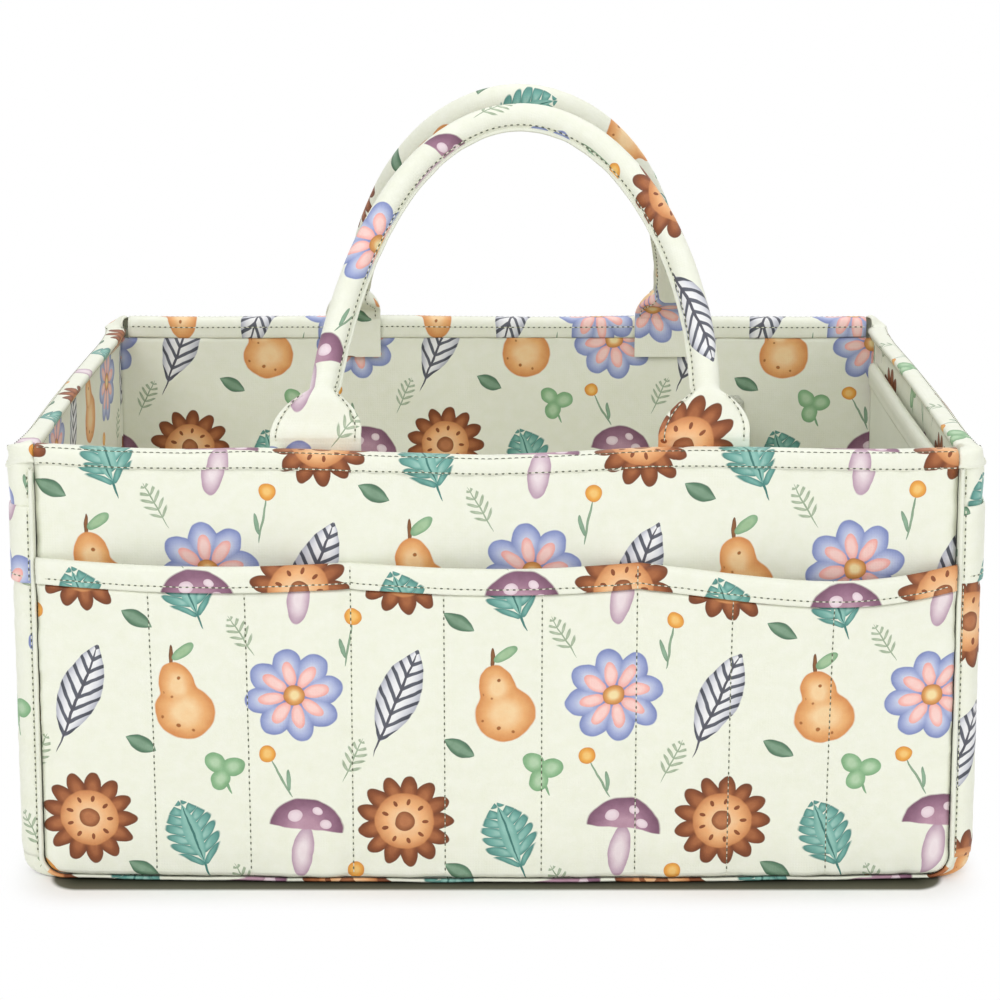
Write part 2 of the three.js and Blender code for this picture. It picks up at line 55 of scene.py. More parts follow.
# The view of the photograph: a long lens a metre in front of the bag, a little above its rim,
# looking slightly down. The bag stands on a white table in the light of three soft boxes.
scene = bpy.context.scene
camera = bpy.data.objects.new("camera", bpy.data.cameras.new("camera"))
scene.collection.objects.link(camera)
camera.location = (0.0014, -1.017, 0.409)
camera.rotation_euler = (math.radians(90 - 15.73), 0, 0)
camera.data.lens = 84.3
camera.data.clip_end = 20
scene.camera = camera
scene.view_settings.view_transform = "Standard"

BAG_MIDDLE = (0, 0, 0.1)
soft_boxes = {
    "key": ((-0.9, -1.5, 1.5), 1.3, 16),
    "fill": ((1.3, -1.3, 0.8), 1.2, 6),
    "top": ((0.2, 0.5, 1.7), 1.4, 10),
}
for name, (place, width, power) in soft_boxes.items():
    lamp = bpy.data.objects.new(name, bpy.data.lights.new(name, "AREA"))
    lamp.data.size = width
    lamp.data.energy = power
    lamp.location = place
    toward = Vector(BAG_MIDDLE) - lamp.location
    lamp.rotation_euler = toward.to_track_quat("-Z", "Y").to_euler()
    scene.collection.objects.link(lamp)


def linear(srgb_hex):
    """An sRGB hex colour as the linear RGBA that the shaders take."""
    parts = [int(srgb_hex[i:i + 2], 16) / 255 for i in (1, 3, 5)]
    return [p / 12.92 if p <= 0.04045 else ((p + 0.055) / 1.055) ** 2.4 for p in parts] + [1.0]


# What the word after a dot in a node's kind sets, as in "Mix.RGBA"; else it is the operation
CHOICES = {"Mix": "data_type", "MapRange": "interpolation_type", "Mapping": "vector_type"}


def node(tree, kind, *sources, out=0, named=None, **settings):
    """Adds a node, sets it, feeds its live inputs in order or by name, and gives one output."""
    kind, _, choice = kind.partition(".")
    made = tree.nodes.new("ShaderNode" + kind)
    if choice:
        setattr(made, CHOICES.get(kind, "operation"), choice)
    for name, value in settings.items():
        setattr(made, name, value)
    live = [socket for socket in made.inputs if socket.enabled]
    pairs = list(zip(live, sources))
    pairs += [(made.inputs[name], value) for name, value in (named or {}).items()]
    for socket, source in pairs:
        if isinstance(source, bpy.types.NodeSocket):
            tree.links.new(source, socket)
        elif source is not None:
            socket.default_value = linear(source) if isinstance(source, str) else source
    outputs = [socket for socket in made.outputs if socket.enabled]
    return outputs[out] if outputs else made


def empty_tree(owner):
    owner.use_nodes = True
    owner.node_tree.nodes.clear()
    return owner.node_tree


def new_finish(name):
    """A material and its empty node tree."""
    made = bpy.data.materials.new(name)
    return made, empty_tree(made)


# White table top and studio wall. Round the bag the table is lit white laminate that takes its
# shadow, and a painted contact shadow darkens it close round the foot. Further out both are plain
# white to the camera and in reflections.
def seen_directly(tree):
    """1 for what the camera sees itself, in a mirror or through glass, else 0."""
    rays = [node(tree, "LightPath", out=i) for i in (0, 3, 6)]
    either = node(tree, "Math.MAXIMUM", rays[0], rays[1])
    return node(tree, "Math.MAXIMUM", either, rays[2])


world = bpy.data.worlds.new("studio")
scene.world = world
tree = empty_tree(world)
daylight = node(tree, "Background", "#FFFFFF", 0.5)
white = node(tree, "Background", "#FFFFFF", 1.0)
node(tree, "OutputWorld", node(tree, "MixShader", seen_directly(tree), daylight, white))

table_mesh = bpy.data.meshes.new("table")
table_mesh.from_pydata([(-4, -4, 0), (4, -4, 0), (4, 6, 0), (-4, 6, 0)], [], [(0, 1, 2, 3)])
table = bpy.data.objects.new("table", table_mesh)
table.location.z = -0.0004
scene.collection.objects.link(table)
# The foot's half size, and how far off it the painted contact shadow, its edge and the lit table end
FOOT_HALF_SIZE = (0.170, 0.1345, 1.0)
CONTACT_SHADE = (0.002, 0.0105)
CONTACT_EDGE = (0.0105, 0.0133)
LIT_TO_WHITE = (0.0095, 0.033)
laminate, tree = new_finish("white_laminate")
off_bag = node(tree, "VectorMath.ABSOLUTE", node(tree, "NewGeometry"))
off_bag = node(tree, "VectorMath.SUBTRACT", off_bag, FOOT_HALF_SIZE)
off_bag = node(tree, "VectorMath.MAXIMUM", off_bag, (0.0, 0.0, 0.0))
off_bag = node(tree, "VectorMath.LENGTH", off_bag)
far = node(tree, "MapRange.SMOOTHSTEP", off_bag, *LIT_TO_WHITE, 0.0, 1.0)
plain = node(tree, "Math.MULTIPLY", far, seen_directly(tree))
# Painted shadow: within about a centimetre of the foot the table's colour darkens to olive grey
painted_shadow_depth = node(tree, "MapRange", off_bag, *CONTACT_SHADE, 0.0, 1.0)
shade = node(tree, "Mix.RGBA", painted_shadow_depth, "#343528", "#6A695A")
painted_shadow_edge = node(tree, "MapRange.SMOOTHSTEP", off_bag, *CONTACT_EDGE, 0.0, 1.0)
lit = node(tree, "BsdfDiffuse", node(tree, "Mix.RGBA", painted_shadow_edge, shade, "#FCFCFA"))
node(tree, "OutputMaterial", node(tree, "MixShader", plain, lit, node(tree, "Emission", "#FFFFFF", 1.0)))
table_mesh.materials.append(laminate)

# Printed canvas: a close plain-woven cotton with a thin coating, so it is smooth and a little
# satin. The print is a watercolour garden pattern on a pale green-white ground, repeated along
# the roll in steps of REPEAT mm, and each piece is cut from another place on it.
GROUND = "#F2F4E4"
REPEAT = (128.0, 108.0)
THREAD_SPACING = 0.55


def garden_print(tree, uv):
    """The colour of the canvas at uv, in millimetres along the cloth."""
    # The painter's hand: outlines wander by about a millimetre
    wobble = node(tree, "TexNoise", uv, 0.09, 2.0, out=1)
    drift = node(tree, "VectorMath.SUBTRACT", wobble, (0.5, 0.5, 0.5))
    cloth = node(tree, "VectorMath.MULTIPLY_ADD", drift, (2.2, 2.2, 0.0), uv)
    painted = [GROUND]

    def motif(x, y, turn, repeat=REPEAT):
        """Millimetres from the middle of a motif, the same in each repeat of the print."""
        high = (x + repeat[0] / 2, y + repeat[1] / 2, 1.0)
        low = (x - repeat[0] / 2, y - repeat[1] / 2, -1.0)
        near = node(tree, "VectorMath.WRAP", cloth, high, low)
        turned = (0, 0, math.radians(turn))
        return node(tree, "Mapping.TEXTURE", near, (x, y, 0), turned)

    def oval(at, centre, radii, turn=0.0):
        """0 in the middle of an oval and 1 at its edge."""
        turned = (0, 0, math.radians(turn))
        mapped = node(tree, "Mapping.TEXTURE", at, (*centre, 0), turned, (*radii, 1))
        return node(tree, "VectorMath.LENGTH", mapped)

    def petal_ring(at, count):
        """Folds the plane round its middle, so that one petal stands for the whole ring."""
        x, y = (node(tree, "SeparateXYZ", at, out=i) for i in (0, 1))
        angle = node(tree, "Math.ARCTAN2", y, x)
        angle = node(tree, "Math.PINGPONG", angle, math.pi / count)
        cosine = node(tree, "Math.COSINE", angle)
        sine = node(tree, "Math.SINE", angle)
        reach = node(tree, "VectorMath.LENGTH", at)
        return node(tree, "VectorMath.SCALE", node(tree, "CombineXYZ", cosine, sine), reach)

    def leaf(at, half_width, half_length):
        """1 at the edge of a pointed leaf along y."""
        x = node(tree, "Math.ABSOLUTE", node(tree, "SeparateXYZ", at))
        y = node(tree, "SeparateXYZ", at, out=1)
        along = node(tree, "Math.DIVIDE", y, half_length)
        square = node(tree, "Math.MULTIPLY", along, along)
        room = node(tree, "Math.MULTIPLY_ADD", square, -half_width, half_width)
        room = node(tree, "Math.MAXIMUM", room, 0.02)
        return node(tree, "Math.DIVIDE", node(tree, "Math.ADD", x, 0.03), room)

    def leaflets(at, half_length, pitch, reach, width, rise=38):
        """1 at the edges of pairs of leaflets along a stalk on y, shorter towards its tip."""
        x = node(tree, "Math.ABSOLUTE", node(tree, "SeparateXYZ", at))
        y = node(tree, "SeparateXYZ", at, out=1)
        outline = leaf(at, reach * 1.15, half_length)
        y = node(tree, "Math.MULTIPLY_ADD", x, -math.tan(math.radians(rise)), y)
        y = node(tree, "Math.WRAP", y, pitch / 2, -pitch / 2)
        single = oval(node(tree, "CombineXYZ", x, y), (reach * 0.52, 0), (reach * 0.55, width))
        return node(tree, "Math.SMOOTH_MAX", single, outline, 0.2)

    def paint(distance, *tones, soft=0.05, cut=None):
        """Lays tones from the middle of a shape to its edge over what is painted so far."""
        ramp = tree.nodes.new("ShaderNodeValToRGB")
        tree.links.new(distance, ramp.inputs[0])
        stops = ramp.color_ramp.elements
        while len(stops) < len(tones) + 1:
            stops.new(0.5)
        for i, tone in enumerate(tones):
            stops[i].position = (1 - soft) * (i + 1) / len(tones)
            stops[i].color = linear(tone)
        stops[len(tones)].position = 1.0
        stops[len(tones)].color = linear(tones[-1])[:3] + [0.0]
        cover = ramp.outputs[1]
        if cut is not None:
            cover = node(tree, "Math.MULTIPLY", cover, cut)
        painted[0] = node(tree, "Mix.RGBA", cover, painted[0], ramp.outputs[0])

    # Sprigs
    for x, y, turn in ((44, 57, -24), (127, 3, 30)):
        at = motif(x, y, turn)
        paint(leaflets(at, 9.0, 3.3, 4.4, 0.85), "#B9C6AC", "#9CAE92", soft=0.2)
        paint(oval(at, (0, -1.5), (0.32, 10.5)), "#9CAE92")
    # Round yellow flowers on thin stalks
    for x, y, turn, side in ((12, 53, 28, 1), (43, 2, -10, -1)):
        at = motif(x, y, turn)
        paint(oval(at, (0, -5.5), (0.5, 9.5)), "#8FA98C", "#7C9A80")
        paint(oval(at, (2.2 * side, -7.5), (0.9, 4.6), -24 * side), "#8FB094", "#7C9A80")
        paint(oval(at, (0, 6.2), (3.5, 3.5)), "#F7C978", "#F0AE4C", "#DE9440")
    # Dark leaves
    at = motif(86, 62, 62, (128.0, 54.0))
    paint(leaf(at, 3.6, 7.0), "#7E9E84", "#5F8468", "#4A6E56", soft=0.1)
    # Clover
    at = motif(119, 52, 14)
    paint(oval(at, (0, -6), (0.6, 5.5), 8), "#7FA981")
    paint(oval(petal_ring(at, 3), (4.4, 0), (4.9, 4.1)), "#B4D2AE", "#93BD90", "#7DAB7E")
    # Lavender daisy with pink inner petals
    at = motif(20, 84, 10)
    paint(oval(petal_ring(at, 8), (11.8, 0), (8.4, 6.2)), "#CDD3E9", "#A9B3DA", "#7F8CC0")
    paint(oval(petal_ring(at, 8), (9.2, 0), (5.4, 2.7)), "#FCD3CC", "#F4ABA3")
    paint(oval(at, (0, 0), (4.6, 4.6)), "#F6DFA6", "#E3A45E", "#C07F42")
    # Brown sunflower
    at = motif(64, 30, 0)
    paint(oval(petal_ring(at, 13), (12.5, 0), (7.4, 3.7)), "#A8653A", "#8A4A24", "#713B1B")
    paint(oval(at, (0, 0), (12.2, 12.2)), "#F7CB9C", "#F0B47C", "#D08A54")
    paint(oval(petal_ring(at, 9), (8.4, 0), (1.4, 0.8)), "#8A4A24")
    paint(oval(at, (0, 0), (4.2, 4.2)), "#B9764A", "#8A4E28")
    # Plum toadstool
    at = motif(24, 26, -8)
    paint(oval(at, (0, -9.5), (4.6, 11.0)), "#F0E2E6", "#DCC6D0", "#B99AAE")
    height_on = node(tree, "SeparateXYZ", at, out=1)
    above = node(tree, "Math.MULTIPLY", height_on, 2.2, use_clamp=True)
    paint(oval(at, (0, 0), (15.5, 14.0)), "#BB93A6", "#9B7188", "#7C536B", cut=above)
    spots = (((-5.0, 5.4), (3.0, 2.5), 20), ((3.4, 8.6), (2.3, 1.8), -20), ((7.6, 3.2), (2.5, 2.2), -10))
    for spot in spots:
        paint(oval(at, *spot), "#EFDDE4", "#E2C9D4")
    # Striped grey feather
    at = motif(62, 84, -22)
    vane = leaf(at, 8.6, 22.0)
    paint(vane, "#F3F3F4", "#DFE0E6", "#B8BAC6")
    x = node(tree, "Math.ABSOLUTE", node(tree, "SeparateXYZ", at))
    barb = node(tree, "Math.MULTIPLY_ADD", x, -1.1, node(tree, "SeparateXYZ", at, out=1))
    stripe = node(tree, "Math.PINGPONG", barb, 2.9)
    paint(vane, "#5A5D68", "#40434E", cut=node(tree, "MapRange", stripe, 1.7, 2.0, 0.0, 1.0))
    paint(oval(at, (0, -4), (0.6, 25)), "#55555F")
    # Freckled orange pear
    at = motif(103, 82, 14)
    paint(oval(at, (1.2, 19), (0.9, 5.0), -14), "#8A5A34", "#6E4426")
    paint(oval(at, (6.4, 19.6), (5.6, 2.4), 24), "#A5C59C", "#7FA981")
    lower = oval(at, (0, -5.5), (12.5, 12.0))
    upper = oval(at, (0, 6.5), (7.4, 10.0))
    body = node(tree, "Math.SMOOTH_MIN", lower, upper, 0.35)
    paint(body, "#F8D3A0", "#EDB274", "#D98F50")
    freckles = node(tree, "TexVoronoi", at, 0.24, named={"Randomness": 0.75})
    freckles = node(tree, "Math.MULTIPLY", freckles, 4.2)
    inside = node(tree, "MapRange", body, 0.86, 0.8, 0.0, 1.0)
    paint(freckles, "#A5652F", soft=0.3, cut=inside)
    # Teal fern
    at = motif(106, 24, 20)
    paint(oval(at, (0, -10), (0.55, 11.0)), "#3F7A72")
    paint(leaflets(at, 15.5, 4.6, 10.4, 2.45, 30), "#A5CFC4", "#74AEA3", "#4C8880", soft=0.1)
    paint(leaf(at, 3.6, 13.5), "#8FC2B6", "#74AEA3", soft=0.1)
    paint(oval(at, (0, 0), (0.45, 13.5)), "#3F7A72")

    # Watercolour pools and dries unevenly, so its washes are lighter in places
    wash = node(tree, "TexNoise", uv, 0.16, 4.0, 0.62)
    wash = node(tree, "MapRange", wash, 0.3, 0.7, 0.3, 0.7)
    return node(tree, "Mix.RGBA", 0.45, painted[0], wash, blend_type="SOFT_LIGHT")


def uneven(tree, uv):
    """Broad soft noise, by which the coating and the cotton vary along the cloth."""
    return node(tree, "TexNoise", uv, 0.05, 3.0)


def canvas_weave(tree, uv, strength):
    """The bump of a plain weave of THREAD_SPACING, with slubs, at uv in millimetres."""
    threads = [
        node(tree, "Math.PINGPONG", node(tree, "SeparateXYZ", uv, out=i), THREAD_SPACING)
        for i in (0, 1)
    ]
    weave = node(tree, "Math.MULTIPLY", *threads)
    slub = node(tree, "TexNoise", uv, 0.9, 3.0)
    height_on = node(tree, "Math.MULTIPLY_ADD", slub, 0.6, weave)
    return node(tree, "Bump", strength, 0.0006, named={"Height": height_on})


def coat(tree, **inputs):
    """Ends a finish with one shader and its inputs, whose names have _ for a space."""
    named = {name.replace("_", " "): value for name, value in inputs.items()}
    node(tree, "OutputMaterial", node(tree, "BsdfPrincipled", named=named))


def canvas_finish(name, colour, roughness, weave, sheen):
    """A coated cotton canvas, satin with a faint weave, coloured by colour(tree, uv)."""
    made, tree = new_finish(name)
    uv = node(tree, "UVMap", uv_map="cloth_mm")
    coat(
        tree,
        Base_Color=colour(tree, uv),
        Roughness=node(tree, "MapRange", uneven(tree, uv), 0.3, 0.7, *roughness),
        Normal=canvas_weave(tree, uv, weave),
        IOR=1.46,
        Sheen_Weight=sheen,
    )
    return made


def ground_colour(tree, uv):
    """The back of the canvas, where only the ground colour comes through."""
    shade = node(tree, "MapRange", uneven(tree, uv), 0.3, 0.7, 0.0, 1.0)
    return node(tree, "Mix.RGBA", shade, "#EBEEDD", "#F1F3E4")


# The canvas's two faces: coated and printed outside, plain cotton inside
printed_canvas = canvas_finish("printed_cotton_canvas", garden_print, (0.46, 0.6), 0.25, 0.05)
plain_canvas = canvas_finish("plain_cotton_canvas", ground_colour, (0.55, 0.7), 0.3, 0.08)

# Polyester sewing thread, cream and twisted, with a painted sheen: lighter and darker bands along its lay
cream_thread, tree = new_finish("cream_polyester_thread")
painted_twist_sheen = node(tree, "TexWave", node(tree, "TexCoord", out=3), 900.0)
coat(
    tree,
    Base_Color=node(tree, "Mix.RGBA", painted_twist_sheen, "#DADCC6", "#F4F4E2"),
    Roughness=0.5,
    IOR=1.5,
)

# Painted shade in the needle holes between stitches: dark and rough, darker in places as if unevenly deep
needle_hole_shade, tree = new_finish("needle_hole_in_canvas")
painted_hole_shade = node(tree, "TexNoise", node(tree, "TexCoord", out=3), 500.0)
coat(
    tree,
    Base_Color=node(tree, "Mix.RGBA", painted_hole_shade, "#4C5142", "#7B806B"),
    Roughness=0.9,
)

# Cutting and sewing. Every cloth piece is a fine grid in millimetres with its place on the
# roll, given a back and an edge; rows of stitches are short threads laid along a line.
MM = 0.001
PRINTED, BINDING, LINING = "printed_cloth", "binding_cloth", "lining_cloth"
STITCH_PITCH = 2.6
STITCH_SIDES = 5


def extent(name, axis=2):
    """The low and high ends of a CAD piece in mm, of its height or along another axis."""
    return [corner[axis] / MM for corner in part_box(name)]


def slack(u, v, seed, wave):
    """Low uneven waves in a cloth, about -1 to 1, at u and v in mm with the usual wave length."""
    draw = np.random.default_rng(seed)
    total = 0.0
    for _ in range(8):
        angle, phase, stretch = draw.uniform((0, 0, 0.55), (2 * np.pi, 2 * np.pi, 1.9))
        along = u * np.cos(angle) + v * np.sin(angle)
        total = total + np.sin(2 * np.pi * stretch * along / wave + phase)
    return total / 4


def pucker(off, along, seed, reach, wave):
    """Gathers that a row of stitches pulls into the cloth at a distance off it, in mm."""
    return np.exp(-np.abs(off) / reach) * slack(along, 0 * along, seed, wave)


def ridge(off, width):
    """1 on a line, and about a third at a width from it on both sides."""
    return np.exp(-(off / width) ** 2)


def smooth_step(value, low, high):
    """0 below low and 1 above high, with a smooth rise between."""
    share = np.clip((value - low) / (high - low), 0, 1)
    return share * share * (3 - 2 * share)


def grid(first, second):
    """Two arrays over every pair of values: columns from first, rows from second."""
    return np.meshgrid(np.asarray(first, float), np.asarray(second, float))


def steps(start, end, size):
    """Even steps of about that size from start to end."""
    return np.linspace(start, end, max(2, round(abs(end - start) / size) + 1))


def run_length(points):
    """Distance along a line of points, from its first."""
    return np.concatenate([[0], np.cumsum(np.linalg.norm(np.diff(points, axis=0), axis=1))])


def unfold(section):
    """A folded edge's section as columns: out, rise, and the distance along the cloth."""
    section = np.array(section)
    return section[:, :1], section[:, 1:], run_length(section)[:, None]


def quads_of(rows, columns, first=0):
    """The faces of a grid of corners that are numbered by row, from first."""
    index = first + np.arange(rows * columns).reshape(rows, columns)
    return np.stack([index[:-1, :-1], index[:-1, 1:], index[1:, 1:], index[1:, :-1]], -1).reshape(-1, 4)


def new_piece(name, corners, faces, materials, marks=None, kinds=None):
    """A smooth piece of corners in mm, with their places on the roll and each face's material."""
    mesh = bpy.data.meshes.new(name)
    mesh.from_pydata((corners * MM).tolist(), [], faces)
    for material in materials:
        mesh.materials.append(material)
    if marks is not None:
        mesh.uv_layers.new(name="cloth_mm").data.foreach_set("uv", marks[np.ravel(faces)].ravel())
    if kinds is not None:
        mesh.polygons.foreach_set("material_index", kinds)
    mesh.polygons.foreach_set("use_smooth", np.ones(len(faces), bool))
    piece = bpy.data.objects.new(name, mesh)
    scene.collection.objects.link(piece)
    return piece


def attach(piece, body, slot, *replaces):
    """Puts a piece on a body, or bakes its transform in place where body gives two bodies and a bend, and
    hides what it stands for; slot is not used.
    """
    if isinstance(body, tuple):
        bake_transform(piece)
    else:
        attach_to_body(piece, body)
    if replaces:
        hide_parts(*replaces)


def cut_cloth(name, stands_for, points, printed, slot=PRINTED, body="caddy", thick=1.0,
              flip=False, finish=None):
    """Makes a cloth piece from its outer face, points in mm by row and column."""
    rows, columns = points.shape[:2]
    faces = quads_of(rows, columns)[:, ::-1 if flip else 1].tolist()
    marks = np.stack(np.broadcast_arrays(*printed, points[..., 0])[:2], -1).reshape(-1, 2)
    piece = new_piece(name, points.reshape(-1, 3), faces, finish or (printed_canvas, plain_canvas), marks)
    ply = piece.modifiers.new("cloth", "SOLIDIFY")
    ply.thickness = thick * MM
    ply.offset = -1
    ply.use_even_offset = True
    ply.use_quality_normals = True
    ply.material_offset = 1
    attach(piece, body, slot, stands_for)
    return piece


def stitches(lines, thread=1.4, width=0.5, lift=0.08, hole=0.56):
    """Stitches along lines, each the points and the outward directions of a cloth, in mm."""
    corners, faces, kinds = [], [], []
    around = np.arange(STITCH_SIDES)
    angles = around * 2 * np.pi / STITCH_SIDES
    after = (around + 1) % STITCH_SIDES
    for points, out in lines:
        along = run_length(points)
        count = int(along[-1] / STITCH_PITCH)

        def on_line(at, values):
            return np.stack([np.interp(at, along, axis) for axis in values.T], -1)

        for i in range(count):
            start = (i + 0.5) * along[-1] / count - thread / 2
            at = start + thread * np.array([0.0, 0.22, 0.78, 1.0])
            middle, up = on_line(at, points), on_line(at, out)
            up /= np.linalg.norm(up, axis=1)[:, None]
            ahead = middle[-1] - middle[0]
            ahead /= np.linalg.norm(ahead)
            beside = np.cross(ahead, up)
            sink = np.array([-0.22, lift, lift, -0.22])[:, None]
            radius = width / 2 * np.array([0.5, 1, 1, 0.5])[:, None, None]
            ring = np.cos(angles)[:, None] * beside[:, None] + np.sin(angles)[:, None] * up[:, None]
            for r in range(3):
                base = len(corners) + r * STITCH_SIDES
                lower, upper = base + around, base + STITCH_SIDES + around
                faces += np.stack([lower, base + after, base + STITCH_SIDES + after, upper], -1).tolist()
            corners.extend(((middle + up * sink)[:, None] + radius * ring).reshape(-1, 3))
            kinds += [0] * 3 * STITCH_SIDES
            # A flat dark face just above the cloth paints the shade in the needle hole after each stitch
            if i + 1 < count:
                gap = start + thread + (STITCH_PITCH - thread) * np.array([-0.04, 0.2, 0.8, 1.04])
                dip = on_line(gap, points) + up[-1] * 0.11
                wide = beside[-1] * hole / 2
                faces.append([len(corners) + corner for corner in range(6)])
                corners.extend([dip[0], dip[1] - wide, dip[2] - wide, dip[3], dip[2] + wide, dip[1] + wide])
                kinds.append(1)
    return np.array(corners), faces, kinds


def sew(name, lines, body="caddy", slot=BINDING, **how):
    """Lays rows of stitches as one piece."""
    corners, faces, kinds = stitches(lines, **how)
    attach(new_piece(name, corners, faces, (cream_thread, needle_hole_shade), kinds=kinds), body, slot)


def sewn_row(face, across, out, up):
    """A line on a face and its outward direction, as stitches take them."""
    across, out, up = np.broadcast_arrays(across, out, up)
    at = face(across, out, up)
    return at, face(across, out + np.where(out > 0, 1.0, -1.0), up) - at


# Stiffener boards: grey-brown card in the four walls, the base and the dividers. It is pressed
# paper board, matt with short fibres, and hidden between the cloths.
card, tree = new_finish("pressed_card_board")
fibre = node(tree, "TexNoise", node(tree, "TexCoord", out=3), 420.0, 5.0, 0.7)
coat(
    tree,
    Base_Color=node(tree, "Mix.RGBA", fibre, "#B9AD90", "#D2C8AE"),
    Roughness=0.86,
    Normal=node(tree, "Bump", 0.3, 0.0004, named={"Height": fibre}),
)
for name in ("front", "back", "left_side", "right_side", "base", "cross_divider", "long_divider"):
    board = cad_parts[name + "_board"].data
    board.materials.clear()
    board.materials.append(card)

# The box of the bag: its front and back walls bow out a little between the side seams, and the
# side walls turn the corners and tuck under at the bottom. Sizes in mm, as the seams lie.
rim_top = extent("rim_band_front")[1]
wall_top = extent("front_panel")[1]
panel_foot = extent("front_panel")[0] - 0.8
WALL_HALF_BASE = 187.0
WALL_HALF_RIM = 184.5
SEAM_INSET = 2.3
FRONT_AT_SEAM = 124.5
FOOT_FLARE = 10.5
RIM_LEAN = 5.0
LEAN_HEIGHTS = (169, 178)
UPRIGHT_SHARE = 0.17
SIDE_PROUD = 0.3
WALL_BOW = -extent("front_panel", 1)[0] - FRONT_AT_SEAM
FOOT_RADIUS = 8.0
PANEL_CORNER = 8.0
CORNER_RADIUS = 8.6
CORNER_CENTRE = 115.3
SIDE_BOW = 2.0
CORNER_SHARE = 0.2
SHELL_PLY = 1.4
CLOTH_STEP = 2.6
INNER_LAYERS = -3
bow_angle = 2 * math.atan(SIDE_BOW / CORNER_CENTRE)
bow_radius = CORNER_CENTRE / math.sin(bow_angle) + CORNER_RADIUS
corner_sweep = math.pi / 2 - bow_angle
corner_run = CORNER_RADIUS * corner_sweep
side_run = 2 * bow_radius * bow_angle


def half_wall(z):
    return WALL_HALF_BASE + (WALL_HALF_RIM - WALL_HALF_BASE) * z / rim_top


def half_seam(z):
    return half_wall(z) - SEAM_INSET


def foot_share(z, out):
    """1 at the foot of the outer cloths, which stand off the boards there, and 0 at the rim."""
    return np.clip(1 - z / rim_top, 0, 1) * (out > INNER_LAYERS)


def end_wall(side, x, z, out):
    """A point on the front (-1) or back (1) wall, out mm in front of its shell."""
    x, z, out = np.broadcast_arrays(x, z, out)
    low = foot_share(z, out)
    bow = WALL_BOW * (1 - 0.5 * low) * (1 - (x / half_seam(z)) ** 2)
    return np.stack([x, side * (FRONT_AT_SEAM + FOOT_FLARE * low + bow + out), z], -1)


def side_wall(side, t, z, out, turn=0.0):
    """A point on the left (-1) or right (1) wall, t from its front seam to its back seam."""
    t, z, out, turn = np.broadcast_arrays(t, z, out, turn)
    s = np.where(t > 0.5, 1 - t, t)
    spread = 1 + FOOT_FLARE / FRONT_AT_SEAM * foot_share(z, out)
    out = out - RIM_LEAN * smooth_step(z, *LEAN_HEIGHTS) * (1 - ridge(np.maximum(s, 0), UPRIGHT_SHARE))
    layer = -out * np.cos(turn)
    corner = corner_sweep * s / CORNER_SHARE
    middle = bow_angle * (0.5 - s) / (0.5 - CORNER_SHARE)
    at_corner = s < CORNER_SHARE
    y = np.where(at_corner, -CORNER_CENTRE - (CORNER_RADIUS - layer) * np.cos(corner),
                 -(bow_radius - layer) * np.sin(middle))
    flat = (bow_radius - CORNER_RADIUS) * math.cos(bow_angle)
    bulge = np.where(at_corner, (CORNER_RADIUS - layer) * np.sin(corner),
                     (bow_radius - layer) * np.cos(middle) - flat)
    x = half_wall(z) + SIDE_PROUD - FOOT_RADIUS * (1 - np.cos(turn)) + bulge
    return np.stack([side * x, np.where(t > 0.5, -y, y) * spread, z - out * np.sin(turn)], -1)


# The cut runs past the turn of each corner to its seam, with a row of stitches just beyond it
SEAM_T = -SEAM_INSET * CORNER_SHARE / corner_run
STITCH_OFF_SEAM = 3.1
stitch_turn = math.asin((STITCH_OFF_SEAM - SEAM_INSET - SIDE_PROUD) / CORNER_RADIUS)
STITCH_T = CORNER_SHARE / corner_sweep * stitch_turn
corner_columns = np.concatenate([
    np.linspace(SEAM_T, STITCH_T, 4)[:-1],
    np.linspace(STITCH_T, CORNER_SHARE, 9)[:-1],
])
side_columns = np.concatenate([
    corner_columns,
    np.linspace(CORNER_SHARE, 1 - CORNER_SHARE, 78),
    1 - corner_columns[::-1],
])
foot_rows = panel_foot + PANEL_CORNER * (1 - np.sin(np.linspace(math.pi / 2, 0, 7)))[:-1]


def side_print(t):
    """Millimetres along the side wall's cloth at t."""
    return np.interp(t, [SEAM_T, CORNER_SHARE, 1 - CORNER_SHARE, 1 - SEAM_T],
                     [-SEAM_INSET, corner_run, corner_run + side_run, 2 * corner_run + side_run + SEAM_INSET])


def panel_x(u, z):
    """x at a share u of an end panel's half width; its rounded lower corners draw the edge in."""
    rise = np.clip(panel_foot + PANEL_CORNER - z, 0, PANEL_CORNER)
    drawn_in = PANEL_CORNER - np.sqrt(PANEL_CORNER ** 2 - rise ** 2)
    return u * half_seam(z) - np.sign(u) * drawn_in * smooth_step(np.abs(u), 0.88, 1)


# Front and back shell panels: printed canvas over card, quilted flat by the rim stitches and
# loose enough to ripple a little between the seams.
POCKET_MOUTH = 134.0
panel_rows = np.concatenate([foot_rows, steps(panel_foot + PANEL_CORNER, wall_top, CLOTH_STEP)])
for name, side, roll in (("front", -1, (6.0, 61.0)), ("back", 1, (71.0, 13.0))):
    u, z = grid(steps(-1, 1, 2 / 140), panel_rows)
    x = panel_x(u, z)
    at_seam = half_seam(z) * (1 - np.abs(u))
    relief = 0.5 * slack(x, 2.2 * z, 11 + side, 120) + 0.5 * pucker(at_seam, z, 12 + side, 9, 15)
    relief = relief + 0.4 * pucker(rim_top - 7 - z, x, 13 + side, 9, 19) - 1.3 * np.exp(-at_seam / 1.6)
    relief = np.where(z < POCKET_MOUTH - 8, np.minimum(relief, -0.9), relief)
    cut_cloth(f"{name}_panel_canvas", f"{name}_panel", end_wall(side, x, z, relief),
              (roll[0] - side * x, z + roll[1]), thick=SHELL_PLY, flip=side > 0)

# Side shell panels: one cut each, wrapped round both corners and turned under at the foot.
foot_turns = np.linspace(math.pi / 2, 0, 8)[:-1]
upright = steps(FOOT_RADIUS, wall_top, CLOTH_STEP)
side_z = np.concatenate([FOOT_RADIUS * (1 - np.sin(foot_turns)), upright])
side_turn = np.concatenate([foot_turns, 0 * upright])[:, None]


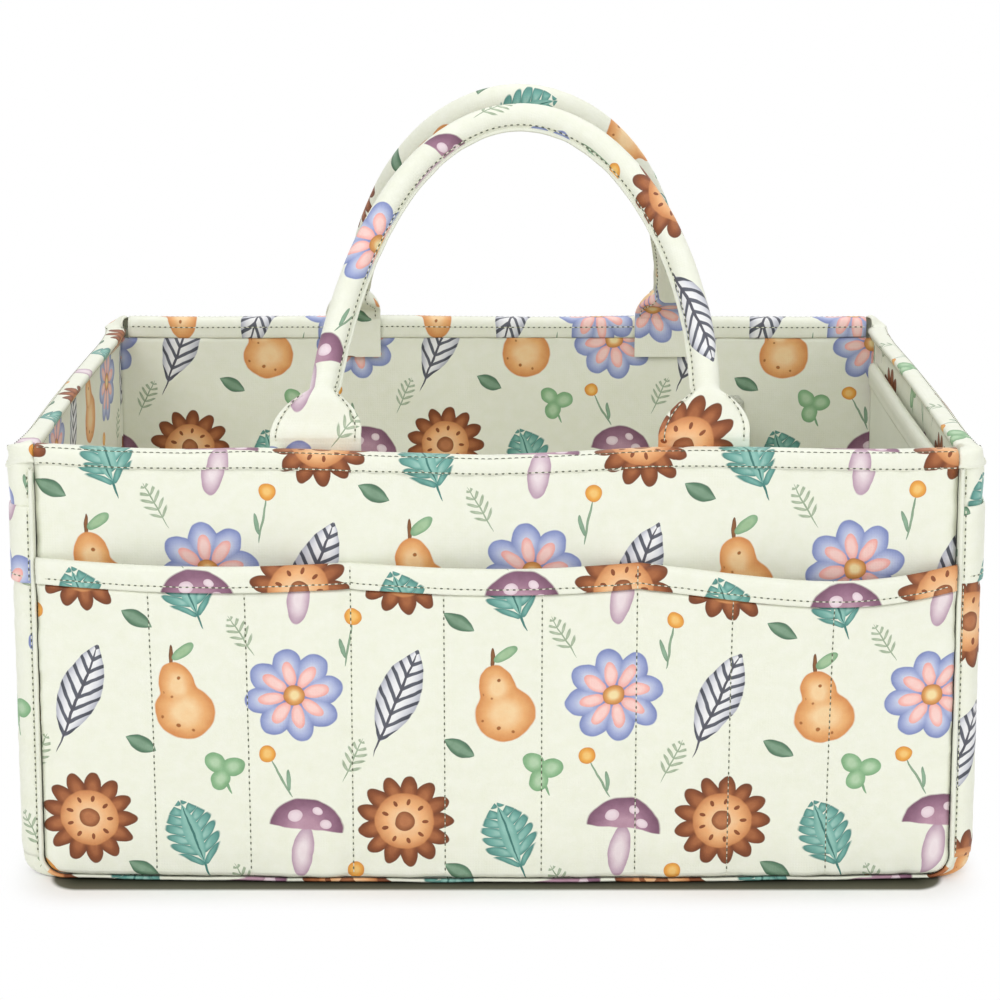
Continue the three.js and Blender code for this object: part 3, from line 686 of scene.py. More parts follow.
def side_relief(side, t, z):
    """The wall's cloth stands off a little near its front top corner, where the folds push it."""
    relief = 0.5 * slack(side_print(t), 1.8 * z, 21 + side, 90) * np.clip((z - 4) / 20, 0, 1)
    relief = relief * np.clip(np.minimum(t, 1 - t) / 0.06, 0, 1)
    flare = np.clip(t / 0.08, 0, 1) * smooth_step(z, 150, 172) * ridge(t, 0.25)
    return relief + (1.6 - 0.5 * side) * flare


for name, side, roll in (("left", -1, (40.0, 47.0)), ("right", 1, (93.0, 86.0))):
    t, z = grid(side_columns, side_z)
    relief = side_relief(side, t, z)
    relief = np.where(z < extent(f"{name}_side_pocket_hem")[0], np.minimum(relief, -1.0), relief)
    points = side_wall(side, t, z, relief * np.clip((z - 2) / 10, 0, 1), side_turn)
    cut_cloth(f"{name}_side_canvas", f"{name}_side_panel", points,
              (side * side_print(t) + roll[0], z - FOOT_RADIUS * side_turn + roll[1]),
              thick=SHELL_PLY, flip=side < 0)


# Base: the outer cloth under the board, seen when the bag is lifted, and the lining on the
# board. Both are flat cuts of the printed canvas with turned edges.
def base_cloth(name, z, half_width, half_depth, bow, corner, roll, relief, slot, flip):
    u, v = grid(steps(-1, 1, 2 / 90), steps(-1, 1, 2 / 60))
    into_corner = np.clip(np.abs(v) * half_depth - half_depth + corner, 0, corner)
    x = u * (half_width - corner + np.sqrt(corner ** 2 - into_corner ** 2))
    y = v * (half_depth + bow * (1 - u ** 2))
    points = np.stack([x, y, z + relief * slack(x, y, len(name), 70)], -1)
    cut_cloth(name + "_canvas", name, points, (x + roll[0], y + roll[1]), slot,
              flip=flip)


floor_top = extent("base_lining")[1]
base_cloth("base_panel", extent("base_panel")[0], extent("base_panel", 0)[1] - 0.5, 132.0, WALL_BOW / 2,
           9.0, (20.0, 30.0), 0.0, PRINTED, True)
base_cloth("base_lining", floor_top, extent("base_lining", 0)[1], extent("base_lining", 1)[1] - WALL_BOW,
           WALL_BOW, 4.0, (52.0, 12.0), 0.25, LINING, False)

# Seam bindings: a bias strip folded over the front and back seams, from under the rim band down
# one side, round the rounded lower corner, along the foot and up the other side.
BINDING_INNER = 0.3
BINDING_OUTER = 2.4
BINDING_FOLD = [
    (0.12, -0.7), (0.12, 0.35), (0.2, 0.8), (0.38, 0.98), (0.62, 1.0), (0.86, 0.84), (1.0, 0.4),
    (1.05, -0.25), (1.08, -0.75),
]
binding_top = extent("front_seam_binding")[1]
binding_proud = extent("front_panel", 1)[0] - extent("front_seam_binding", 1)[0]
turns = np.linspace(0, math.pi / 2, 9)
down = steps(binding_top, panel_foot + PANEL_CORNER, CLOTH_STEP)[:-1]
foot = steps(-(half_seam(0) - PANEL_CORNER), 0, CLOTH_STEP)[1:]
corner_x = -(half_seam(panel_foot) - PANEL_CORNER)
# The left half of the seam as x, z and its outward direction in the panel's plane
half_line = np.stack([
    np.concatenate([-half_seam(down), corner_x - PANEL_CORNER * np.cos(turns), foot]),
    np.concatenate([down, panel_foot + PANEL_CORNER * (1 - np.sin(turns)), 0 * foot + panel_foot]),
    np.concatenate([0 * down - 1, -np.cos(turns), 0 * foot]),
    np.concatenate([0 * down, -np.sin(turns), 0 * foot - 1]),
])
mirrored = half_line[:, -2::-1] * [[-1], [1], [-1], [1]]
seam_x, seam_z, seam_across, seam_below = np.concatenate([half_line, mirrored], 1)[..., None]
run = run_length(np.concatenate([seam_x, seam_z], -1))[:, None]
at_foot = np.abs(seam_below) ** 3
fold_radial, fold_proud = np.array(BINDING_FOLD).T
for name, side, roll in (("front", -1, (31.0, 26.0)), ("back", 1, (77.0, 26.0))):
    radial = BINDING_INNER + (BINDING_OUTER - BINDING_INNER) * fold_radial * (1 + 0 * run)
    radial = radial * (1 - 0.35 * at_foot) + 0.35 * at_foot
    out = binding_proud * fold_proud * (1 + 0.09 * slack(run, 0 * run, 31 + side, 13))
    out = out * (1 - 0.4 * at_foot) + 0.4
    radial = radial + 0.22 * at_foot * slack(run, 0 * run, 33 + side, 50)
    points = end_wall(side, seam_x + radial * seam_across, seam_z + radial * seam_below, out)
    binding = cut_cloth(f"{name}_seam_binding_cloth", f"{name}_seam_binding", points,
                        (run + roll[0], radial + roll[1]), BINDING, thick=0.5, flip=side > 0)
    off_foot = np.repeat(np.abs(seam_below[:-1, 0]) < 0.7, len(BINDING_FOLD) - 1)
    binding.data.polygons.foreach_set("material_index", off_foot.astype(int))

# Rim bands: each wall's cloth is turned over the top of the wall and sewn down on both faces.
# The side bands are thicker and stand up a little at the corners, where the folds meet.
BAND_TOP = [
    (1.42, 3.6), (1.3, 5.0), (0.9, 6.1), (0.1, 6.8), (-0.7, 7.15), (-1.9, 7.3), (-4.2, 7.3), (-5.9, 7.0),
    (-7.0, 6.2), (-7.55, 4.8), (-7.6, 4.1), (-7.6, 1.6), (-7.5, 0.6), (-7.15, 0.1),
]
END_BAND = [(0.2, -0.15), (0.6, 0.0), (0.85, 0.75), (1.25, 2.0)] + BAND_TOP
SIDE_BAND = [(0.9, -0.3), (1.7, 0.1), (1.95, 0.9), (1.5, 1.8)] + BAND_TOP
BAND_JOIN = 70.0
BAND_HALF = 185.0
BAND_PLY = 0.8
BACK_RISE = 3.0
# Heights by which the front rim's edge wanders, from its left end to its right
RIM_LINE = [
    (-182, -0.3), (-150, -0.3), (-122, 0.2), (-98, 1.0), (-71, 0.9), (-45, 0.3), (-24, 0.0), (-3, -0.5),
    (20, 0.2), (41, 1.1), (60, 2.2), (80, 2.1), (107, 1.1), (136, -0.2), (162, -1.9), (182, -2.6),
]
band_foot = extent("rim_band_front")[0]
join_columns = steps(BAND_JOIN - 5, BAND_JOIN + 5, 0.4) / WALL_HALF_RIM
band_columns = np.unique(np.concatenate([steps(-1, 1, 2 / 150), join_columns]))


def band_stitches(name, surface, columns, rows):
    """Rows of stitches near the foot of a rim band's two faces, and one under its lip."""
    lines = [sewn_row(surface, columns, out, rise) for out, rise in rows]
    sew(name, lines[:2])
    sew(name + "_lip", lines[2:], thread=0.9, width=0.3, lift=0.0, hole=0.62)


def end_band(side, share, out, rise):
    """The band on an end wall; its edge wanders at the front and lies higher at the back."""
    z = band_foot + rise
    x = share * (half_seam(z) - 0.3)
    lift = 1.3 * share ** 2 + 0.9 * ridge(1 - np.abs(share), 0.12) - 0.3
    wave = 0.35 * slack(x, 0 * x, 41 + side, 110) - 0.4 * ridge(x, 40)
    if side < 0:
        lift = lift + np.interp(x, *np.array(RIM_LINE).T)
    else:
        wave = wave + BACK_RISE * (1 - 0.25 * np.abs(x / 184) ** 8)
    top = np.clip(rise / 7, 0, 1)
    ripple = 0.22 * slack(share * BAND_HALF, 0 * share, 45 + side, 9) * ridge(rise - 0.8, 2)
    out = out + ripple * np.sign(out) + 0.25 * top * slack(x, z * 0, 43 + side, 37)
    return end_wall(side, x, z + lift + top * wave, out)


def side_band(side, t, out, rise):
    """The band on a side wall; its folded corners stand higher and out beyond the wall."""
    top = np.clip(rise / 7, 0, 1)
    from_end = np.minimum(t, 1 - t)
    wave = 0.4 * slack(side_print(t), 0 * t, 47 + side, 100)
    droop = (1 - side) * (1 - top) * ridge(from_end - 0.2, 0.12)
    lift = (1.1 - 1.3 * side) * ridge(np.abs(t), 0.12) + 4.5 * ridge(1 - t, 0.08)
    ear = (1.3 * top + (1.8 - 1.0 * side) * top ** 3) * ridge(from_end - 0.13, 0.09)
    z = band_foot + rise - droop + top * wave + lift
    return side_wall(side, t, z, out + (out > INNER_LAYERS) * ear)


for name, side, roll in (("front", -1, (6.0, 61.0)), ("back", 1, (71.0, 13.0))):
    out, rise, run = unfold(END_BAND)
    # The band is joined once along each end wall, where its cloth steps up and dips beside it
    from_join = band_columns * WALL_HALF_RIM - BAND_JOIN + 0.8 * (rise - 3.5) * side
    step = 0.3 * ridge(from_join, 0.6) - 0.35 * ridge(from_join - 1.0, 0.4)
    points = end_band(side, band_columns, out + step * np.sign(out), rise)
    cut_cloth(f"rim_band_{name}_cloth", f"rim_band_{name}", points,
              (roll[0] - side * band_columns * BAND_HALF, band_foot + run + roll[1]), BINDING,
              thick=BAND_PLY, flip=side > 0)
    band_stitches(f"rim_{name}_stitches", partial(end_band, side), band_columns,
                  [(0.85, 0.75), (-7.6, 4.1 if side > 0 else 1.6), (0.1, 6.8)])

past_corners = side_columns[(side_columns > 0.12) & (side_columns < 0.88)]
for name, side, roll in (("left", -1, (40.0, 47.0)), ("right", 1, (93.0, 86.0))):
    out, rise, run = unfold(SIDE_BAND)
    cut_cloth(f"rim_band_{name}_cloth", f"rim_band_{name}",
              side_band(side, side_columns, out, rise),
              (side * side_print(side_columns) + roll[0], band_foot + run + roll[1]), BINDING,
              thick=BAND_PLY, flip=side < 0)
    band_stitches(f"rim_{name}_stitches", partial(side_band, side), past_corners,
                  [(1.5, 1.8), (-7.6, 1.6), (0.1, 6.8)])

# Lining: the same canvas, print inwards, hung in the box between the rim bands and the floor.
LINING_OUT = -6.3
LINING_PLY = 0.9
lining_rows = steps(floor_top, band_foot + 1.5, 3.0)


def lining_relief(side, along, z, seed):
    drawn_in = pucker(band_foot - z, along, seed + 1 + side, 8, 17)
    return LINING_OUT - 0.3 - 0.25 * slack(along, 1.7 * z, seed + side, 80) - 0.25 * drawn_in


for name, side, roll in (("front", -1, (18.0, 70.0)), ("back", 1, (90.0, 22.0))):
    u, z = grid(steps(-1, 1, 2 / 130), lining_rows)
    x = u * (extent(f"{name}_lining", 0)[1] + half_seam(z) - half_seam(rim_top))
    points = end_wall(side, x, z, lining_relief(side, x, z, 51))
    cut_cloth(f"{name}_lining_cloth", f"{name}_lining", points,
              (side * x + roll[0], z + roll[1]), LINING, thick=LINING_PLY, flip=side < 0)
for name, side, roll in (("left", -1, (63.0, 34.0)), ("right", 1, (12.0, 99.0))):
    t, z = grid(side_columns[6:-6], lining_rows)
    along = side_print(t)
    points = side_wall(side, t, z, lining_relief(side, along, z, 53))
    cut_cloth(f"{name}_side_lining_cloth", f"{name}_side_lining", points,
              (roll[0] - side * along, z + roll[1]), LINING, thick=LINING_PLY, flip=side > 0)

# Front and back patch pockets: one cut of canvas each, let into the side seams, sewn down along
# two lines into three pockets, which gape a little and sag between them. Lighter rows of
# stitching, through the pocket cloth alone, draw it in along narrower channels.
POCKET_STANDOFF = 0.3
POCKET_LEAN = 1.6
POCKET_DIVIDERS = (-58.0, 56.0)
POCKET_GAPES = (8.0, 7.0, 10.0)
POCKET_SAGS = (0.0, 0.3, 3.9)
CHANNELS = (-138.0, -99.6, -20.8, 18.1, 93.4, 133.5)
HEM_HEIGHT = 9.0
HEM_STITCH_RISE = -6.8
POCKET_HALF = half_seam(60)
# The hem is folded over the pocket's top edge and sewn down near its own lower edge
HEM_SECTION = [
    (1.1, -9.4), (1.7, -9.2), (1.95, -8.3), (1.7, HEM_STITCH_RISE), (2.1, -4.8), (2.2, -2.8), (1.95, -0.8),
    (1.3, 0.7), (0.4, 1.15), (-0.5, 1.0), (-1.1, 0.2), (-1.25, -2.0), (-1.25, -8.0),
]
HEM_FRONT = 8
pocket_top = extent("front_pocket")[1] + 3.2
pocket_edges = (-POCKET_HALF, *POCKET_DIVIDERS, POCKET_HALF)
knots = np.sort([*pocket_edges, *CHANNELS])
between_knots = [steps(low, high, 1.6) for low, high in zip(knots[:-1], knots[1:])]
pocket_columns = np.unique(np.concatenate(between_knots))
hem_out, hem_rise, hem_run = unfold(HEM_SECTION)
hem_edge = pocket_top + HEM_SECTION[0][1]
pocket_rows = np.concatenate([
    foot_rows,
    steps(panel_foot + PANEL_CORNER, hem_edge - 1.6, 1.6),
    hem_edge + np.array([-1.2, -0.8, -0.5, -0.2, 0.2, 0.8, 2.0, 5.0, 8.0]),
])


def pocket_swell(wide, amounts, skew=1.0):
    """How far the pocket mouths stand open, or sag: an amount for each pocket."""
    swell = 0.0 * wide
    for amount, low, high in zip(amounts, pocket_edges[:-1], pocket_edges[1:]):
        swell = swell + amount * np.sin(np.pi * np.clip((wide - low) / (high - low), 0, 1) ** skew)
    return swell


def pocket_face(side, wide, z, out):
    """A point on an end pocket, wide mm right of its middle; the back one is the front one turned."""
    share = np.clip((z - panel_foot) / (pocket_top - HEM_HEIGHT - panel_foot), 0, 1)
    standoff = POCKET_STANDOFF + POCKET_LEAN * share + pocket_swell(wide, POCKET_GAPES) * share ** 2
    sag = pocket_swell(wide, POCKET_SAGS, 1.6)
    sag = sag + 3.0 * np.clip((wide - POCKET_DIVIDERS[1]) / (POCKET_HALF - POCKET_DIVIDERS[1]), 0, 1)
    return end_wall(side, panel_x(-side * wide / POCKET_HALF, z), z - sag * share ** 2, standoff + out)


def quilted_face(side, wide, out, z):
    """The pocket's cloth, drawn in along each row of stitches and puckered beside it."""
    below_hem = np.clip((pocket_top - HEM_HEIGHT - z) / 6, 0, 1)
    at_seam = POCKET_HALF - np.abs(wide)
    up = z - panel_foot
    relief = 0.55 * slack(wide, 1.4 * z, 61 + side, 62)
    for i, line in enumerate(POCKET_DIVIDERS):
        relief = relief - 1.5 * ridge(wide - line, 4.5) * np.clip(below_hem, 0.5, 1)
        relief = relief + 0.4 * pucker(wide - line, z, 62 + i, 7, 13)
    for i, line in enumerate(CHANNELS):
        drawn_in = 0.9 * np.exp(-np.abs(wide - line) / 3.2)
        relief = relief - below_hem * (drawn_in - 0.25 * pucker(wide - line, z, 70 + i, 5, 9))
    relief = relief + 0.9 * pucker(at_seam, z, 81 + side, 11, 12) - 1.4 * np.exp(-at_seam / 1.6)
    relief = relief + 0.5 * pucker(up, wide, 83 + side, 9, 21)
    relief = relief + 0.5 * ridge(up - 1.5, 2) - 0.9 * ridge(up, 0.6) - 1.1 * ridge(z - hem_edge, 0.7)
    return pocket_face(side, wide, z, out + np.maximum(relief, -1.3 - 1.2 * np.clip(z / pocket_top, 0, 1)))


def hem_face(side, wide, out, rise):
    """The pocket's hem, rippled by its row of stitches and pinched where the pockets divide."""
    ripple = 0.25 * slack(wide, 0 * wide, 87 + side, 8) * ridge(rise - HEM_STITCH_RISE, 2.2)
    ripple = ripple + 0.3 * slack(wide, 3 * rise, 89 + side, 50)
    pinch = sum(ridge(wide - line, 2.5) for line in POCKET_DIVIDERS)
    return pocket_face(side, wide, pocket_top + rise, out + np.sign(out) * ripple - 0.7 * pinch * (out > 0))


below = pocket_rows[(pocket_rows > panel_foot + 1) & (pocket_rows < hem_edge)]
for name, side, roll in (("front", -1, (101.0, 3.0)), ("back", 1, (38.0, 66.0))):
    cloth, hem = partial(quilted_face, side), partial(hem_face, side)
    wide, z = grid(pocket_columns, pocket_rows)
    cut_cloth(f"{name}_pocket_cloth", f"{name}_pocket", cloth(wide, 0.9, z),
              (wide + roll[0], z + roll[1]), thick=0.9)
    cut_cloth(f"{name}_pocket_hem_cloth", f"{name}_pocket_hem",
              hem(pocket_columns, hem_out, hem_rise), (pocket_columns + roll[0] + 41.0, hem_run + 29.0),
              BINDING, thick=0.6)
    lines = [sewn_row(hem, pocket_columns[2:-2], 1.7, HEM_STITCH_RISE)]
    for line in POCKET_DIVIDERS:
        lines.append(sewn_row(hem, line, hem_out[:HEM_FRONT, 0], hem_rise[:HEM_FRONT, 0]))
        lines.append(sewn_row(cloth, line, 0.9, below))
    sew(f"{name}_pocket_stitches", lines)
    fine = [sewn_row(cloth, line, 0.9, below) for line in CHANNELS]
    sew(f"{name}_channel_stitches", fine, thread=1.3, width=0.36, lift=0.04)

# Side pockets: one wide pocket on each side wall, let into the two seams, with a deep hem turned
# down over its mouth. It lies close round the corners and stands open along the wall.
SIDE_HEM = 31.0
SIDE_POCKET_TOP = extent("right_side_pocket_hem")[1] - 1.2
SIDE_POCKET_FOOT = 8.3
SIDE_POCKET_GAPES = {-1: 0.6, 1: 3.2}
SIDE_POCKET_OUT = {-1: 0.0, 1: 0.4}
SIDE_HEM_SECTION = [
    (1.25, 0.0), (1.55, 0.35), (1.6, 1.9), (1.4, 2.8), (1.5, 3.7), (1.6, 6.0), (1.65, 15.0), (1.6, 26.0),
    (1.5, 29.0), (1.25, 30.4), (0.7, 31.2), (0.1, 31.2), (-0.4, 30.4), (-0.55, 28.0), (-0.55, 8.0),
]
SIDE_HEM_FRONT = slice(1, 10)
side_hem_foot = SIDE_POCKET_TOP - SIDE_HEM
side_hem_out, side_hem_rise, side_hem_run = unfold(SIDE_HEM_SECTION)


def side_cloth_face(side, t, out, z, share_of_relief=1.0):
    """The side pocket's cloth, open along the wall and puckered beside its seams."""
    along = side_print(t)
    share = np.clip((z - SIDE_POCKET_FOOT) / (side_hem_foot - SIDE_POCKET_FOOT), 0, 1)
    along_wall = np.sin(np.pi * np.clip((t - CORNER_SHARE) / (1 - 2 * CORNER_SHARE), 0, 1))
    gape = (1.1 * share + SIDE_POCKET_GAPES[side] * share ** 2) * along_wall
    from_seam = np.minimum(along, 2 * corner_run + side_run - along)
    relief = 0.5 * slack(along, 1.4 * z, 91 + side, 80) * np.clip((from_seam - 10) / 20, 0, 1)
    relief = relief + 0.5 * pucker(from_seam, z, 93 + side, 11, 13) * np.clip(from_seam / 3, 0, 1)
    relief = relief - 0.4 * ridge(z - SIDE_POCKET_FOOT, 3)
    out = SIDE_POCKET_OUT[side] + 0.15 * share + gape + out + share_of_relief * relief
    return side_wall(side, t, z, out)


def side_hem_face(side, t, out, rise):
    """The side pocket's hem, pressed flatter at the corners."""
    flat = 0.55 + 0.45 * smooth_step(np.minimum(t, 1 - t), 0.16, 0.3)
    return side_cloth_face(side, t, out * flat, side_hem_foot + rise, 0.4)


def side_wall_face(side, t, out, z):
    return side_wall(side, t, z, out + side_relief(side, t, z))


for name, side, roll in (("left", -1, (2.0, 90.0)), ("right", 1, (60.0, 30.0))):
    t, z = grid(side_columns[1:-1], steps(SIDE_POCKET_FOOT, SIDE_POCKET_TOP - 1, 2.0))
    along = side * side_print(t) + roll[0]
    under_hem = -0.5 * ridge(side_hem_foot - 1.2 - z, 1.5)
    cut_cloth(f"{name}_side_pocket_cloth", f"{name}_side_pocket",
              side_cloth_face(side, t, under_hem, z), (along, z + roll[1]), thick=0.5, flip=side < 0)
    cut_cloth(f"{name}_side_pocket_hem_cloth", f"{name}_side_pocket_hem",
              side_hem_face(side, t[0], side_hem_out, side_hem_rise), (along[0] + 30, side_hem_run + roll[1]),
              BINDING, thick=0.5, flip=side < 0)
    row = sewn_row(partial(side_hem_face, side), side_columns[4:-4], 1.4, 2.8)
    sew(f"{name}_side_pocket_stitches", [row])

# The rows that hold the four upright seams run just outside the bindings, through the pockets
above = steps(SIDE_POCKET_TOP + 2.5, binding_top - 0.5, 1.0)
below = steps(SIDE_POCKET_FOOT + 1.0, side_hem_foot - 0.5, 2.0)
hem_front = side_hem_out[SIDE_HEM_FRONT, 0], side_hem_rise[SIDE_HEM_FRONT, 0]
for name, side in (("left", -1), ("right", 1)):
    lines = []
    for t in (STITCH_T, 1 - STITCH_T):
        lines.append(sewn_row(partial(side_wall_face, side), t, 0.03, above))
        lines.append(sewn_row(partial(side_hem_face, side), t, *hem_front))
        lines.append(sewn_row(partial(side_cloth_face, side), t, 0.03, below))
    sew(f"{name}_seam_stitches", lines)

# Inner pocket: on the right wall's lining, with its hem just under the rim band.
INNER_POCKET_TOP = extent("inner_pocket_hem")[1] - 1.2
INNER_POCKET_FOOT = extent("inner_pocket")[0]
INNER_POCKET_GAPE = 2.4
INNER_POCKET_OUT = -6.9
inner_columns = side_columns[13:-13]


def inner_pocket_face(t, out, rise):
    """A point on the inner pocket, out mm into the box and at a rise from its top."""
    high = INNER_POCKET_TOP + rise
    share = np.clip((high - INNER_POCKET_FOOT) / (INNER_POCKET_TOP - 10 - INNER_POCKET_FOOT), 0, 1.1)
    swell = np.sin(np.pi * (t - inner_columns[0]) / (inner_columns[-1] - inner_columns[0]))
    gape = POCKET_LEAN * share + INNER_POCKET_GAPE * swell * share ** 2
    return side_wall(1, t, high, INNER_POCKET_OUT - gape - out)


t, z = grid(inner_columns, steps(INNER_POCKET_FOOT, INNER_POCKET_TOP - 1, 2.4))
along = side_print(t)
points = inner_pocket_face(t, 0.8 + 0.4 * slack(along, 1.4 * z, 95, 70), z - INNER_POCKET_TOP)
cut_cloth("inner_pocket_cloth", "inner_pocket", points, (70.0 - along, z + 41.0),
          LINING, thick=0.8)
cut_cloth("inner_pocket_hem_cloth", "inner_pocket_hem",
          inner_pocket_face(inner_columns, hem_out, hem_rise), (20.0 - along[0], 12.0 - hem_run), BINDING,
          thick=0.6)
sew("inner_pocket_stitches", [sewn_row(inner_pocket_face, inner_columns[1:-1], 1.7, HEM_STITCH_RISE)])

# Handles: each is one strip of canvas folded round a soft cord and sewn shut along the inside
# of the arch. Its ends open out into flat spade shapes, which go down inside the rim band.
HANDLE_SPAN = 153.0
HANDLE_RISE = 142.0
HANDLE_LEAN = math.radians(36)
TUBE_RADIUS = 5.5
TAB_HALF_WIDTHS = {-1: 18.0, 1: 13.5}
TAB_HALF_THICKNESS = 1.2
ROOT_HALF_THICKNESS = 0.8
SPADE_HEIGHTS = {-1: 18.0, 1: 15.0}
TAB_STITCH_INSET = 2.4
BEND = 4.0
LOOP = 44
hinge_z = rim_top + 6.0
hinge_y = abs(sum(extent("front_handle_root_left", 1)) / 2)
root_heights = np.concatenate([
    steps(extent("front_handle_root_left")[0] - hinge_z, -BEND, 1.6),
    steps(-BEND, BEND, 0.8)[1:-1],
])[:, None]
tab_angles = np.linspace(math.asin(BEND / HANDLE_RISE), math.asin(34 / HANDLE_RISE), 28)
arch_angles = np.concatenate([tab_angles, np.linspace(tab_angles[-1], math.pi / 2, 75)[1:]])[:, None]


def handle_line(side):
    """Centre, outward and front directions along a handle, height above its hinge, and run."""
    up = np.array([0, -side * math.sin(HANDLE_LEAN), math.cos(HANDLE_LEAN)])
    corner = np.array([-HANDLE_SPAN / 2, side * hinge_y, hinge_z])
    share = np.clip((root_heights + BEND) / (2 * BEND), 0, 1)
    turn = (1 - share) * [0, 0, 1] + share * up
    turn /= np.linalg.norm(turn, axis=1)[:, None]
    root = corner + BEND * (share ** 2 * up - (1 - share) ** 2 * [0, 0, 1])
    root = root + np.minimum(0, root_heights + BEND) * [0, 0, 1]
    across, sweep = np.cos(arch_angles), np.sin(arch_angles)
    arch = corner + HANDLE_SPAN / 2 * (1 - across) * [1, 0, 0] + HANDLE_RISE * sweep * up
    away = HANDLE_SPAN / 2 * sweep * up - HANDLE_RISE * across * [1, 0, 0]
    away /= np.linalg.norm(away, axis=1)[:, None]

    def whole(first, second, mirror):
        half = np.concatenate([first, second])
        return np.concatenate([half, half[-2::-1] * mirror])

    mirror = np.array([-1, 1, 1])
    height_on = whole(root_heights, HANDLE_RISE * sweep, 1)
    centre = whole(root, arch, mirror)
    # The soft arch hangs over to the right
    centre[:, :1] += 5.2 + 4.8 * (1 - np.exp(-np.maximum(height_on, 0) / 35))
    outer = whole(0 * root - [1, 0, 0], away, mirror)
    front = whole(side * np.cross(turn, [1, 0, 0]), side * np.cross(up + 0 * arch, [1, 0, 0]), mirror)
    return centre, outer, front, height_on, run_length(centre)[:, None]


def rounded(half, wave, power):
    """One coordinate of a section between a circle and a box, by its power."""
    return half * np.sign(wave) * np.abs(wave) ** (2 / power)


for name, side, roll in (("front", -1, (8.0, 84.0)), ("back", 1, (52.0, 40.0))):
    centre, outer, front, height_on, run = handle_line(side)
    spade = SPADE_HEIGHTS[side]

    def off_line(across, depth_on, keep=slice(None)):
        """Points off the handle's line, outwards in its plane and in front of it."""
        off = across[..., None] * outer[keep, None] + depth_on[..., None] * front[keep, None]
        return centre[keep, None] + off

    opened = 1 - np.clip(height_on / spade, 0, 1) ** 2.1
    half_width = TUBE_RADIUS + (TAB_HALF_WIDTHS[side] - TUBE_RADIUS) * opened
    flat = np.where(height_on < -BEND / 2, ROOT_HALF_THICKNESS, TAB_HALF_THICKNESS)
    half_thick = flat + (TUBE_RADIUS - flat) * smooth_step(height_on, 0.15 * spade, 0.95 * spade)
    power = 5.5 - 3.5 * smooth_step(height_on, 0.2 * spade, 1.05 * spade)
    angle = np.linspace(math.pi, -math.pi, LOOP + 1)
    across = rounded(half_width, np.cos(angle), power)
    depth_on = rounded(half_thick, np.sin(angle), power)
    in_tube = smooth_step(height_on, spade, 2 * spade)
    creases = 0.35 * slack(run + 3 * np.cos(angle), 4 * angle, 101 + side, 9)
    near_top = ridge(run - run[-1] / 2, 60)
    swell = 0.022 * slack(run, 6 * angle, 103 + side, 34) - 0.05 * near_top * np.abs(creases)
    swell = 1 + swell * in_tube
    around = np.stack([run_length(np.stack([a, d], -1)) for a, d in zip(across, depth_on)])
    around = around - around[:, LOOP // 4][:, None]
    # The seam along the inside of the arch ends in a narrow flange
    tube = height_on[:, 0] > spade - 3
    grown = smooth_step(height_on[tube], spade - 3, spade + 4)
    wave = 1 + 0.1 * slack(run[tube], 0 * run[tube], 105 + side, 12)
    reach = half_width[tube] - 0.3 + np.array([0, 1.3, 1.6, 1.6, 1.3, 0]) * grown * wave
    thick_on = np.array([0.6, 0.6, 0.35, -0.35, -0.6, -0.6]) + 0 * reach
    cover_print = around + 0.17 * run + roll[0], run + roll[1] + 0 * around
    surfaces = (
        (off_line(across * swell, depth_on * swell), cover_print),
        (off_line(-reach, thick_on, tube), (reach, run[tube] + 0 * reach)),
    )
    corners, marks, faces, kinds = [], [], [], []
    for kind, (points, printed) in enumerate(surfaces):
        quads = quads_of(*points.shape[:2], sum(len(part) for part in corners))
        corners.append(points.reshape(-1, 3))
        marks.append(np.stack(printed, -1).reshape(-1, 2))
        faces += quads.tolist()
        kinds += [kind] * len(quads)
    cover = new_piece(f"{name}_handle_cloth", np.concatenate(corners), faces, (printed_canvas, plain_canvas),
                      np.concatenate(marks), kinds)
    bend = 1.5 * BEND * MM
    low_y, low_z = side * hinge_y * MM, hinge_z * MM
    blend_ends = dict(
        start=(0, low_y, low_z - bend),
        end=(0, low_y - side * bend * math.sin(HANDLE_LEAN), low_z + bend * math.cos(HANDLE_LEAN)),
    )
    bodies = ("caddy", f"{name}_handle", blend_ends)
    roots = (f"{name}_handle_root_left", f"{name}_handle_root_right")
    attach(cover, bodies, PRINTED, f"{name}_handle_cover", *roots)

    # Stitches on both faces: along the seam inside the arch, and round each spade's outer edge
    lines = []
    blended = smooth_step(height_on, spade - 5, spade + 5)
    inner = (TAB_STITCH_INSET * (1 - blended) - half_width) * (1 - blended) - TUBE_RADIUS * 0.93 * blended
    lift = half_thick * (1 - blended) + TUBE_RADIUS * 0.4 * blended
    keep = height_on[:, 0] > -BEND
    left_half = np.arange(len(run)) < len(run) // 2
    for face in (1, -1):
        along = off_line(inner, face * lift)[:, 0]
        lines.append((along[keep], (face * front - 0.6 * blended * outer)[keep]))
        edge = off_line(half_width - TAB_STITCH_INSET, face * half_thick)[:, 0]
        for end in (left_half, ~left_half):
            low = end & keep & (height_on[:, 0] < spade - 2)
            lines.append((edge[low], face * front[low]))
    sew(f"{name}_handle_stitches", lines, bodies, PRINTED)

